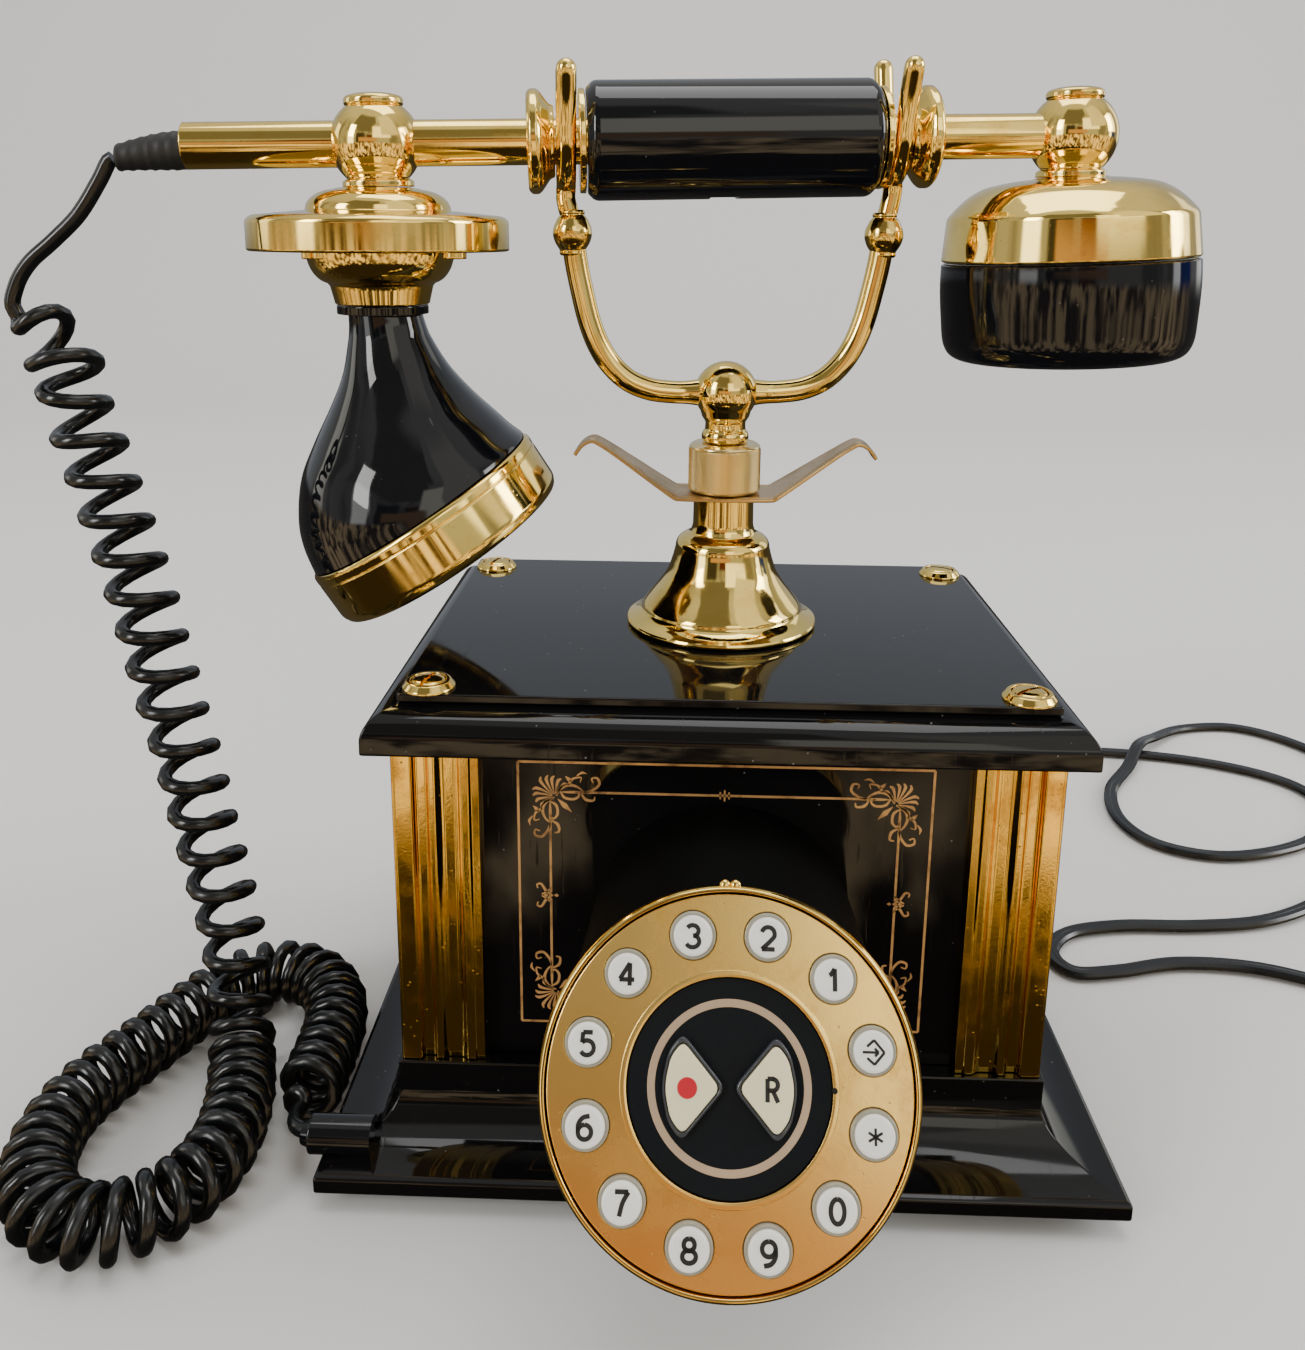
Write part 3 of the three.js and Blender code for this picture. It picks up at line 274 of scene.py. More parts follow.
def tube(line: Sequence[Vector], radius: float | Callable[[float], float], sides: int = 24,
         round_ends: bool = False) -> Shape:
    """Makes a round bar along a line.

    Args:
        line: the centre line.
        radius: one radius, or a function of the share of the line that is passed.
        sides: the number of sides.
        round_ends: whether the ends are domes.
    """
    at = radius if callable(radius) else (lambda share: radius)
    frames = travel(line)
    sections = [(p, f, at(i / (len(line) - 1))) for i, (p, f) in enumerate(zip(line, frames))]
    if round_ends:
        dome = [(math.sin(math.radians(a)), math.cos(math.radians(a))) for a in (72, 54, 36, 18, 6)]
        first, last = sections[0], sections[-1]
        sections = ([(first[0] - first[1][0] * first[2] * s, first[1], first[2] * c) for s, c in
                     [(math.cos(math.radians(a)), math.sin(math.radians(a))) for a in (6, 24, 42, 60, 78)]]
                    + sections
                    + [(last[0] + last[1][0] * last[2] * c, last[1], last[2] * s) for s, c in dome])
    turns = [TURN * k / sides for k in range(sides)]
    outlines = []
    for centre, (_, side, up), size in sections:
        outlines.append([centre + (side * math.cos(turn) + up * math.sin(turn)) * size for turn in turns])
    return lofted(outlines)


def placed_profile(radius: float, low: float, high: float, ease: float = 0.4) -> list[Vector]:
    """Returns the profile of a cylinder with eased edges."""
    return rounded([(0, low), (radius, low, ease), (radius, high, ease), (0, high)])


# ----------------------------------------------------------------------------------------------
# From shapes to pieces
# ----------------------------------------------------------------------------------------------


def to_mesh(name: str, shape: Shape, place: Matrix) -> Mesh:
    """Makes a mesh of a shape, placed in the model's frame.

    Args:
        name: the mesh's name.
        shape: the shape, in millimetres.
        place: takes millimetres in the piece's frame to metres in the model's.

    Returns:
        A smooth mesh whose edges stay sharp where its faces meet at an angle.
    """
    mesh = bpy.data.meshes.new(name)
    moved = shape.moved(place)
    mesh.from_pydata([tuple(p) for p in moved.points], [], moved.faces)
    mesh.update()
    smooth(mesh)
    return mesh


def smooth(mesh: Mesh) -> None:
    """Shades a mesh smooth, with sharp edges kept."""
    mesh.shade_smooth()
    mesh.set_sharp_from_angle(angle=SMOOTH_BELOW)


class Workshop:
    """Turns meshes into pieces that ride on the model's bodies."""

    def __init__(self) -> None:
        """Starts with no pieces."""
        self.pieces: list[bpy.types.Object] = []

    def piece(self, name: str, mesh: Mesh, finish: Material, body: str,
              slot: str, nodes: Sequence[str] = ()) -> bpy.types.Object:
        """Adds a piece.

        Args:
            name: the piece's name.
            mesh: its mesh, in the model's frame.
            finish: its material.
            body: the body that it rides on, or nothing for a piece that rides on none.
            slot: the record's material slot of its finish; not used.
            nodes: the model's nodes that it stands for.

        Returns:
            The new object.
        """
        obj = bpy.data.objects.new(name, mesh)
        bpy.context.scene.collection.objects.link(obj)
        mesh.materials.clear()
        mesh.materials.append(finish)
        if body:
            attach(obj, body)
        if nodes:
            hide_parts(*nodes)
        self.pieces.append(obj)
        LOG.info("%s: %d faces, on %s", name, len(mesh.polygons), body)
        return obj

    def shape(self, name: str, shape: Shape, place: Matrix, finish: Material, body: str,
              slot: str, nodes: Sequence[str] = ()) -> bpy.types.Object:
        """Adds a piece made of a shape."""
        return self.piece(name, to_mesh(name, shape, place), finish, body, slot, nodes)


def mesh_of(curve: bpy.types.Curve, place: Matrix) -> Mesh:
    """Turns a curve or text into a placed mesh and removes the curve."""
    carrier = bpy.data.objects.new(curve.name, curve)
    bpy.context.scene.collection.objects.link(carrier)
    graph = bpy.context.evaluated_depsgraph_get()
    mesh = bpy.data.meshes.new_from_object(carrier.evaluated_get(graph), depsgraph=graph)
    bpy.data.objects.remove(carrier)
    mesh.transform(place)
    smooth(mesh)
    return mesh


def cut_plate(name: str, outlines: Sequence[Sequence[Corner]], thickness: float, ease: float,
              place: Matrix) -> Mesh:
    """Makes a flat plate with eased edges.

    Args:
        name: the mesh's name.
        outlines: the outer outline, then its holes.
        thickness: from the plate's back, at height -thickness, to its face at height 0.
        ease: the rounding of every edge.
        place: takes it to the model's frame.
    """
    curve = bpy.data.curves.new(name, "CURVE")
    curve.dimensions = "2D"
    curve.fill_mode = "BOTH"
    curve.extrude = thickness / 2 - ease
    curve.bevel_depth = ease
    curve.bevel_resolution = 2
    curve.offset = -ease
    for outline in outlines:
        path = curve.splines.new("POLY")
        path.points.add(len(outline) - 1)
        for point, corner in zip(path.points, outline):
            point.co = (corner[0], corner[1], 0.0, 1.0)
        path.use_cyclic_u = True
    return mesh_of(curve, place @ Matrix.Translation((0, 0, -thickness / 2)))


def circle(radius: float, count: int = 96, centre: Corner = (0.0, 0.0)) -> list[Corner]:
    """Returns the points of a circle."""
    return [(centre[0] + radius * math.cos(TURN * i / count),
             centre[1] + radius * math.sin(TURN * i / count)) for i in range(count)]


# ----------------------------------------------------------------------------------------------
# Node trees: a helper for shading and for geometry
# ----------------------------------------------------------------------------------------------


class Tree:
    """A node tree that is being built."""

    def __init__(self, tree: NodeTree) -> None:
        """Wraps a tree."""
        self.tree = tree
        self.column = 0

    def add(self, kind: str, settings: dict[str, object] | None = None, **inputs: object) -> Node:
        """Adds a node.

        Args:
            kind: the node's type.
            settings: the node's own properties.
            inputs: values or sockets for its inputs, by name with _ for a space, or by _number.
        """
        node = self.tree.nodes.new(kind)
        node.location = (self.column * 30, -(self.column % 7) * 140)
        self.column += 1
        for key, value in (settings or {}).items():
            setattr(node, key, value)
        for key, value in inputs.items():
            target = node.inputs[int(key[1:])] if key[1:].isdigit() else node.inputs[key.replace("_", " ")]
            self.feed(target, value)
        return node

    def feed(self, target: Socket, value: object) -> None:
        """Links a socket to an input, or sets its value."""
        if isinstance(value, Socket):
            self.tree.links.new(value, target)
        else:
            target.default_value = value

    def math(self, operation: str, first: object, second: object = 0.0, clamp: bool = False) -> Socket:
        """Adds a math node and returns its result."""
        node = self.add("ShaderNodeMath", {"operation": operation, "use_clamp": clamp}, _0=first, _1=second)
        return node.outputs[0]

    def steps(self, value: Socket, low: float, high: float) -> Socket:
        """Maps a value from between low and high to between 0 and 1, smoothly."""
        node = self.add("ShaderNodeMapRange", {"interpolation_type": "SMOOTHSTEP"}, _0=value, _1=low,
                        _2=high)
        return node.outputs[0]

    def blend(self, share: object, first: object, second: object) -> Socket:
        """Mixes two colours and returns the result."""
        node = self.add("ShaderNodeMix", {"data_type": "RGBA"}, _0=share)
        self.feed(node.inputs[6], first)
        self.feed(node.inputs[7], second)
        return node.outputs[2]


def rgb(red: float, green: float, blue: float) -> tuple[float, float, float, float]:
    """Returns an opaque colour."""
    return (red, green, blue, 1.0)


class Effect(Enum):
    """The shared surface effects."""

    PATINA = "Patina"
    GRAIN = "Moulded grain"
    HANDLING = "Handling marks"


class Effects:
    """Builds each shared effect once, as a group with named inputs and outputs."""

    def __init__(self) -> None:
        """Builds every group."""
        self.groups = {
            Effect.PATINA: self._patina(),
            Effect.GRAIN: self._grain(),
            Effect.HANDLING: self._handling(),
        }

    @staticmethod
    def _open(name: str, inputs: Sequence[tuple[str, str, object]],
              outputs: Sequence[tuple[str, str]]) -> tuple[Tree, Node, Node]:
        """Starts a shader group with the given sockets."""
        group = bpy.data.node_groups.new(name, "ShaderNodeTree")
        for label, kind, default in inputs:
            socket = group.interface.new_socket(label, in_out="INPUT", socket_type=kind)
            if default is not None:
                socket.default_value = default
        for label, kind in outputs:
            group.interface.new_socket(label, in_out="OUTPUT", socket_type=kind)
        tree = Tree(group)
        return tree, tree.add("NodeGroupInput"), tree.add("NodeGroupOutput")

    def _patina(self) -> NodeTree:
        """Lacquered brass: clouds of tarnish, fine pits and rubbed places."""
        tree, given, result = self._open(
            Effect.PATINA.value,
            [("Vector", "NodeSocketVector", None), ("Bright", "NodeSocketColor", rgb(0.9, 0.6, 0.2)),
             ("Tarnished", "NodeSocketColor", rgb(0.4, 0.2, 0.06)),
             ("Cloud Scale", "NodeSocketFloat", 60.0),
             ("Amount", "NodeSocketFloat", 0.5), ("Pits", "NodeSocketFloat", 0.3),
             ("Polish", "NodeSocketFloat", 0.1)],
            [("Color", "NodeSocketColor"), ("Roughness", "NodeSocketFloat"), ("Height", "NodeSocketFloat")])
        vector = given.outputs["Vector"]
        cloud = tree.add("ShaderNodeTexNoise", Vector=vector, Scale=given.outputs["Cloud Scale"],
                         Detail=5.0,
                         Roughness=0.62, Distortion=0.4)
        fine = tree.add("ShaderNodeTexNoise", Vector=vector, Scale=1400.0, Detail=3.0, Roughness=0.7)
        stains = tree.steps(cloud.outputs[0], 0.42, 0.74)
        mottle = tree.math("MULTIPLY", tree.steps(fine.outputs[0], 0.4, 0.75), 0.5)
        mottled = tree.math("MULTIPLY", tree.math("ADD", stains, tree.math("MULTIPLY", mottle, stains)),
                            given.outputs["Amount"], clamp=True)
        spots = tree.add("ShaderNodeTexVoronoi", Vector=vector, Scale=520.0, Randomness=1.0)
        near = tree.steps(spots.outputs["Distance"], 0.16, 0.05)
        rare = tree.add("ShaderNodeTexNoise", Vector=vector, Scale=230.0, Detail=1.0)
        pits = tree.math("MULTIPLY", tree.math("MULTIPLY", near, tree.steps(rare.outputs[0], 0.5, 0.62)),
                         given.outputs["Pits"])
        toned = tree.blend(mottled, given.outputs["Bright"], given.outputs["Tarnished"])
        pitted = tree.blend(pits, toned, rgb(0.06, 0.03, 0.012))
        rough = tree.math("ADD", given.outputs["Polish"], tree.math("MULTIPLY", mottled, 0.22))
        rough = tree.math("ADD", rough, tree.math("MULTIPLY", pits, 0.4), clamp=True)
        height = tree.math("SUBTRACT", tree.math("MULTIPLY", fine.outputs[0], 0.15), pits)
        tree.feed(result.inputs["Color"], pitted)
        tree.feed(result.inputs["Roughness"], rough)
        tree.feed(result.inputs["Height"], height)
        return tree.tree

    def _grain(self) -> NodeTree:
        """Moulded plastic and rubber: a fine skin with worn, shinier places."""
        tree, given, result = self._open(
            Effect.GRAIN.value,
            [("Vector", "NodeSocketVector", None), ("Scale", "NodeSocketFloat", 900.0),
             ("Low", "NodeSocketFloat", 0.3), ("High", "NodeSocketFloat", 0.5)],
            [("Tone", "NodeSocketFloat"), ("Roughness", "NodeSocketFloat"), ("Height", "NodeSocketFloat")])
        vector = given.outputs["Vector"]
        cells = tree.add("ShaderNodeTexVoronoi", {"feature": "SMOOTH_F1"}, Vector=vector,
                         Scale=given.outputs["Scale"])
        soft = tree.add("ShaderNodeTexNoise", Vector=vector, Scale=70.0, Detail=4.0)
        rough = tree.add("ShaderNodeMapRange", _0=soft.outputs[0], _1=0.3, _2=0.7,
                         _3=given.outputs["Low"], _4=given.outputs["High"])
        tree.feed(result.inputs["Tone"], soft.outputs[0])
        tree.feed(result.inputs["Roughness"], rough.outputs[0])
        tree.feed(result.inputs["Height"], cells.outputs["Distance"])
        return tree.tree

    def _handling(self) -> NodeTree:
        """Gloss surfaces: hairline scratches, dust specks and wiped smears."""
        tree, given, result = self._open(
            Effect.HANDLING.value,
            [("Vector", "NodeSocketVector", None), ("Scratches", "NodeSocketFloat", 0.4),
             ("Dust", "NodeSocketFloat", 0.3), ("Polish", "NodeSocketFloat", 0.05)],
            [("Specks", "NodeSocketFloat"), ("Roughness", "NodeSocketFloat"),
             ("Height", "NodeSocketFloat")])
        vector = given.outputs["Vector"]
        hairs = []
        for angle, squeeze in ((0.5, 900.0), (2.1, 700.0)):
            turned = tree.add("ShaderNodeMapping", Vector=vector, Rotation=(0.3, 0.2, angle),
                              Scale=(squeeze, 22.0, 60.0))
            noise = tree.add("ShaderNodeTexNoise", Vector=turned.outputs[0], Scale=1.0, Detail=2.0)
            hairs.append(tree.steps(noise.outputs[0], 0.66, 0.74))
        scratches = tree.math("MULTIPLY", tree.math("MAXIMUM", hairs[0], hairs[1]),
                              given.outputs["Scratches"])
        motes = tree.add("ShaderNodeTexVoronoi", Vector=vector, Scale=330.0)
        sparse = tree.add("ShaderNodeTexNoise", Vector=vector, Scale=90.0, Detail=3.0)
        specks = tree.math("MULTIPLY", tree.steps(motes.outputs["Distance"], 0.1, 0.03),
                           tree.steps(sparse.outputs[0], 0.5, 0.6))
        specks = tree.math("MULTIPLY", specks, given.outputs["Dust"])
        smears = tree.add("ShaderNodeTexNoise", Vector=vector, Scale=26.0, Detail=4.0, Distortion=1.2)
        rough = tree.math("ADD", given.outputs["Polish"],
                          tree.math("MULTIPLY", tree.steps(smears.outputs[0], 0.45, 0.8), 0.1))
        rough = tree.math("ADD", rough, tree.math("MULTIPLY", scratches, 0.25))
        rough = tree.math("ADD", rough, tree.math("MULTIPLY", specks, 0.6), clamp=True)
        tree.feed(result.inputs["Specks"], specks)
        tree.feed(result.inputs["Roughness"], rough)
        tree.feed(result.inputs["Height"], tree.math("SUBTRACT", specks, scratches))
        return tree.tree


# ----------------------------------------------------------------------------------------------
# Finishes
# ----------------------------------------------------------------------------------------------


@dataclass(frozen=True)
class Finish:
    """What every finish has: a name and a surface tree."""

    name: str

    def start(self, effects: Effects, effect: Effect) -> tuple[Tree, Node, Node]:
        """Starts a material with one effect on Object coordinates.

        Returns:
            The tree, its Principled node and the effect's node.
        """
        material = bpy.data.materials.new(self.name)
        material.use_nodes = True
        tree = Tree(material.node_tree)
        surface = material.node_tree.nodes["Principled BSDF"]
        place = tree.add("ShaderNodeTexCoord")
        group = tree.add("ShaderNodeGroup", {"node_tree": effects.groups[effect]})
        tree.feed(group.inputs["Vector"], place.outputs["Object"])
        return tree, surface, group

    @staticmethod
    def relief(tree: Tree, surface: Node, height: Socket, strength: float,
               distance: float) -> None:
        """Feeds a height to the surface through a bump node."""
        bump = tree.add("ShaderNodeBump", Strength=strength, Distance=distance, Height=height)
        tree.feed(surface.inputs["Normal"], bump.outputs[0])


@dataclass(frozen=True)
class Brass(Finish):
    """Polished or worn brass under old lacquer."""

    bright: tuple[float, float, float, float] = rgb(1.0, 0.73, 0.2)
    tarnished: tuple[float, float, float, float] = rgb(0.72, 0.4, 0.06)
    cloud_scale: float = 60.0
    amount: float = 0.45
    pits: float = 0.3
    polish: float = 0.06
    relief_strength: float = 0.06
    warm_reflection: tuple[float, float] | None = None  # heights between which a painted warm reflection turns the lower part copper-coloured

    def make(self, effects: Effects) -> Material:
        """Returns the material."""
        tree, surface, group = self.start(effects, Effect.PATINA)
        for label, value in (("Bright", self.bright), ("Tarnished", self.tarnished),
                             ("Cloud Scale", self.cloud_scale), ("Amount", self.amount),
                             ("Pits", self.pits), ("Polish", self.polish)):
            group.inputs[label].default_value = value
        surface.inputs["Metallic"].default_value = 1.0
        color = group.outputs["Color"]
        # painted warm reflection: the lower part is blended towards copper by height
        if self.warm_reflection:
            place = tree.add("ShaderNodeTexCoord")
            height = tree.add("ShaderNodeSeparateXYZ", Vector=place.outputs["Object"]).outputs[2]
            low = tree.steps(height, self.warm_reflection[1], self.warm_reflection[0])
            color = tree.blend(tree.math("MULTIPLY", low, 0.65), color, rgb(0.9, 0.4, 0.1))
        tree.feed(surface.inputs["Base Color"], color)
        tree.feed(surface.inputs["Roughness"], group.outputs["Roughness"])
        self.relief(tree, surface, group.outputs["Height"], self.relief_strength, 0.0002)
        return bpy.data.materials[self.name]


@dataclass(frozen=True)
class Lacquer(Finish):
    """Deep gloss: lacquered wood, polished plastic."""

    color: tuple[float, float, float, float] = rgb(0.0045, 0.0042, 0.0045)
    dust_color: tuple[float, float, float, float] = rgb(0.35, 0.34, 0.32)
    scratches: float = 0.35
    dust: float = 0.5
    polish: float = 0.035
    coat: float = 0.0
    specular: float = 0.36

    def make(self, effects: Effects) -> Material:
        """Returns the material."""
        tree, surface, group = self.start(effects, Effect.HANDLING)
        group.inputs["Scratches"].default_value = self.scratches
        group.inputs["Dust"].default_value = self.dust
        group.inputs["Polish"].default_value = self.polish
        tree.feed(surface.inputs["Base Color"],
                  tree.blend(group.outputs["Specks"], self.color, self.dust_color))
        tree.feed(surface.inputs["Roughness"], group.outputs["Roughness"])
        surface.inputs["Coat Weight"].default_value = self.coat
        surface.inputs["Specular IOR Level"].default_value = self.specular
        surface.inputs["Coat Roughness"].default_value = 0.03
        self.relief(tree, surface, group.outputs["Height"], 0.08, 0.0001)
        return bpy.data.materials[self.name]


@dataclass(frozen=True)
class Moulded(Finish):
    """Plastic or rubber with a moulded skin."""

    color: tuple[float, float, float, float] = rgb(0.02, 0.02, 0.022)
    shade: float = 0.7
    low: float = 0.35
    high: float = 0.5
    grain_scale: float = 900.0
    relief_strength: float = 0.15
    transmission: float = 0.0
    subsurface: float = 0.0
    specular: float = 0.5

    def make(self, effects: Effects) -> Material:
        """Returns the material."""
        tree, surface, group = self.start(effects, Effect.GRAIN)
        for label, value in (("Scale", self.grain_scale), ("Low", self.low), ("High", self.high)):
            group.inputs[label].default_value = value
        deep = rgb(*(c * self.shade for c in self.color[:3]))
        tree.feed(surface.inputs["Base Color"], tree.blend(group.outputs["Tone"], deep, self.color))
        tree.feed(surface.inputs["Roughness"], group.outputs["Roughness"])
        surface.inputs["Transmission Weight"].default_value = self.transmission
        surface.inputs["Subsurface Weight"].default_value = self.subsurface
        surface.inputs["Subsurface Scale"].default_value = 0.001
        surface.inputs["Specular IOR Level"].default_value = self.specular
        self.relief(tree, surface, group.outputs["Height"], self.relief_strength, 0.0001)
        return bpy.data.materials[self.name]


@dataclass(frozen=True)
class Gilding(Finish):
    """Transferred gold on lacquer, rubbed thin in places."""

    color: tuple[float, float, float, float] = rgb(0.78, 0.44, 0.17)

    def make(self, effects: Effects) -> Material:
        """Returns the material."""
        tree, surface, group = self.start(effects, Effect.PATINA)
        group.inputs["Bright"].default_value = self.color
        group.inputs["Tarnished"].default_value = rgb(0.2, 0.1, 0.04)
        group.inputs["Cloud Scale"].default_value = 140.0
        group.inputs["Amount"].default_value = 0.8
        group.inputs["Pits"].default_value = 0.6
        group.inputs["Polish"].default_value = 0.42
        surface.inputs["Metallic"].default_value = 0.55
        tree.feed(surface.inputs["Base Color"], group.outputs["Color"])
        tree.feed(surface.inputs["Roughness"], group.outputs["Roughness"])
        return bpy.data.materials[self.name]


class Palette:
    """Every finish of the telephone."""

    def __init__(self) -> None:
        """Makes the materials."""
        effects = Effects()
        self.brass = Brass("Polished brass").make(effects)
        self.column_brass = Brass("Column brass", bright=rgb(1.0, 0.66, 0.13),
                                  tarnished=rgb(0.62, 0.28, 0.03),
                                  cloud_scale=75.0, amount=0.6, pits=0.4, polish=0.06,
                                  relief_strength=0.3).make(effects)
        self.strip_brass = Brass("Rubbed strip brass", bright=rgb(0.62, 0.42, 0.18),
                                 tarnished=rgb(0.34, 0.22, 0.09), amount=0.8, polish=0.24).make(effects)
        self.knurl_brass = Brass("Knurled brass", bright=rgb(0.97, 0.8, 0.42),
                                 tarnished=rgb(0.72, 0.5, 0.2), polish=0.2).make(effects)
        # the dial's lower part carries a painted warm reflection
        self.dial_brass = Brass("Brushed dial brass", bright=rgb(1.0, 0.68, 0.2),
                                tarnished=rgb(0.6, 0.34, 0.07), cloud_scale=34.0, amount=0.8, pits=0.25,
                                polish=0.22, relief_strength=0.25, warm_reflection=(0.032, 0.066)).make(effects)
        self.lacquer = Lacquer("Black lacquer").make(effects)
        self.gloss_black = Lacquer("Polished black plastic", color=rgb(0.004, 0.0045, 0.006), dust=0.25,
                                   scratches=0.2, polish=0.03, coat=0.12, specular=0.38).make(effects)
        self.gilding = Gilding("Gilding").make(effects)
        self.matt_black = Moulded("Leathered black disc", color=rgb(0.002, 0.005, 0.009), shade=0.3,
                                  low=0.5,
                                  high=0.7, grain_scale=1500.0, relief_strength=0.6,
                                  specular=0.2).make(effects)
        self.bezel = Moulded("Dark bezel", color=rgb(0.05, 0.055, 0.065), low=0.12, high=0.2,
                             relief_strength=0.02).make(effects)
        self.rubber = Moulded("Black rubber", color=rgb(0.014, 0.014, 0.015), low=0.45, high=0.65,
                              relief_strength=0.3).make(effects)
        self.cord = Moulded("Cord sheath", color=rgb(0.007, 0.008, 0.009), low=0.16, high=0.3,
                            grain_scale=600.0, relief_strength=0.08).make(effects)
        self.key_white = Moulded("White key cap", color=rgb(0.93, 0.92, 0.87), shade=0.95, low=0.28,
                                 high=0.4, relief_strength=0.03, subsurface=0.1).make(effects)
        self.key_skirt = Moulded("Clear key skirt", color=rgb(0.46, 0.44, 0.35), shade=0.85, low=0.12,
                                 high=0.2, relief_strength=0.02, transmission=0.25).make(effects)
        self.key_cream = Moulded("Cream key cap", color=rgb(0.86, 0.79, 0.52), shade=0.95, low=0.3,
                                 high=0.42, relief_strength=0.03, subsurface=0.1).make(effects)
        self.figure = Moulded("Printed figure", color=rgb(0.012, 0.012, 0.014), low=0.4,
                              high=0.5).make(effects)
        self.red = Moulded("Red dot", color=rgb(0.62, 0.012, 0.03), low=0.3, high=0.4).make(effects)
        self.champagne = Moulded("Champagne ring", color=rgb(0.52, 0.37, 0.24), low=0.3,
                                 high=0.4).make(effects)
        self.steel = Brass("Steel wire", bright=rgb(0.5, 0.5, 0.5), tarnished=rgb(0.25, 0.24, 0.22),
                           polish=0.25).make(effects)
        self.board = Moulded("Solder mask", color=rgb(0.02, 0.12, 0.05)).make(effects)
        self.drum = Moulded("Dull black drum", color=rgb(0.002, 0.002, 0.002), low=0.5, high=0.7,
                            specular=0.08).make(effects)
        # near-black painted shade for holes and for the insides seen through them
        self.painted_hole_shade = Moulded("Unlit hollow", color=rgb(0.002, 0.002, 0.002), low=0.7,
                              high=0.8).make(effects)


# ----------------------------------------------------------------------------------------------
# Geometry node recipes
# ----------------------------------------------------------------------------------------------


class Recipe:
    """A geometry node tree whose result becomes a plain mesh."""

    def __init__(self, name: str, inputs: Sequence[tuple[str, str]]) -> None:
        """Starts a tree with named inputs."""
        group = bpy.data.node_groups.new(name, "GeometryNodeTree")
        group.interface.new_socket("Geometry", in_out="INPUT", socket_type="NodeSocketGeometry")
        for label, kind in inputs:
            group.interface.new_socket(label, in_out="INPUT", socket_type=kind)
        group.interface.new_socket("Geometry", in_out="OUTPUT", socket_type="NodeSocketGeometry")
        self.name = name
        self.tree = Tree(group)
        self.given = self.tree.add("NodeGroupInput")
        self.result = self.tree.add("NodeGroupOutput")

    def end(self, geometry: Socket, finish: Material) -> None:
        """Ends the tree in Realize Instances and Set Material."""
        real = self.tree.add("GeometryNodeRealizeInstances", Geometry=geometry)
        dressed = self.tree.add("GeometryNodeSetMaterial", Geometry=real.outputs[0], Material=finish)
        self.tree.feed(self.result.inputs[0], dressed.outputs[0])

    def grow(self, values: dict[str, object], place: Matrix) -> Mesh:
        """Runs the tree.

        Args:
            values: a value for each named input.
            place: takes its millimetres to the model's frame.

        Returns:
            The result, as a placed mesh.
        """
        carrier = bpy.data.objects.new(self.name, bpy.data.meshes.new(self.name))
        bpy.context.scene.collection.objects.link(carrier)
        modifier = carrier.modifiers.new(self.name, "NODES")
        modifier.node_group = self.tree.tree
        for item in self.tree.tree.interface.items_tree:
            if item.item_type == "SOCKET" and item.in_out == "INPUT" and item.name in values:
                modifier[item.identifier] = values[item.name]
        graph = bpy.context.evaluated_depsgraph_get()
        mesh = bpy.data.meshes.new_from_object(carrier.evaluated_get(graph), depsgraph=graph)
        carrier.modifiers.remove(modifier)
        bpy.data.objects.remove(carrier)
        mesh.transform(place)
        smooth(mesh)
        return mesh


def corner_copies(finish: Material) -> Recipe:
    """Makes the recipe that puts a copy of an object at each corner of a rectangle, turned at random."""
    recipe = Recipe("Corner copies", [("Object", "NodeSocketObject"), ("Width", "NodeSocketFloat"),
                                      ("Depth", "NodeSocketFloat"), ("Seed", "NodeSocketInt")])
    tree, given = recipe.tree, recipe.given
    grid = tree.add("GeometryNodeMeshGrid", Size_X=given.outputs["Width"], Size_Y=given.outputs["Depth"],
                    Vertices_X=2, Vertices_Y=2)
    source = tree.add("GeometryNodeObjectInfo", Object=given.outputs["Object"])
    turn = tree.add("FunctionNodeRandomValue", {"data_type": "FLOAT_VECTOR"}, _0=(0.0, 0.0, 0.0),
                    _1=(0.0, 0.0, TURN), Seed=given.outputs["Seed"])
    copies = tree.add("GeometryNodeInstanceOnPoints", Points=grid.outputs[0],
                      Instance=source.outputs["Geometry"], Rotation=turn.outputs[0])
    recipe.end(copies.outputs[0], finish)
    return recipe


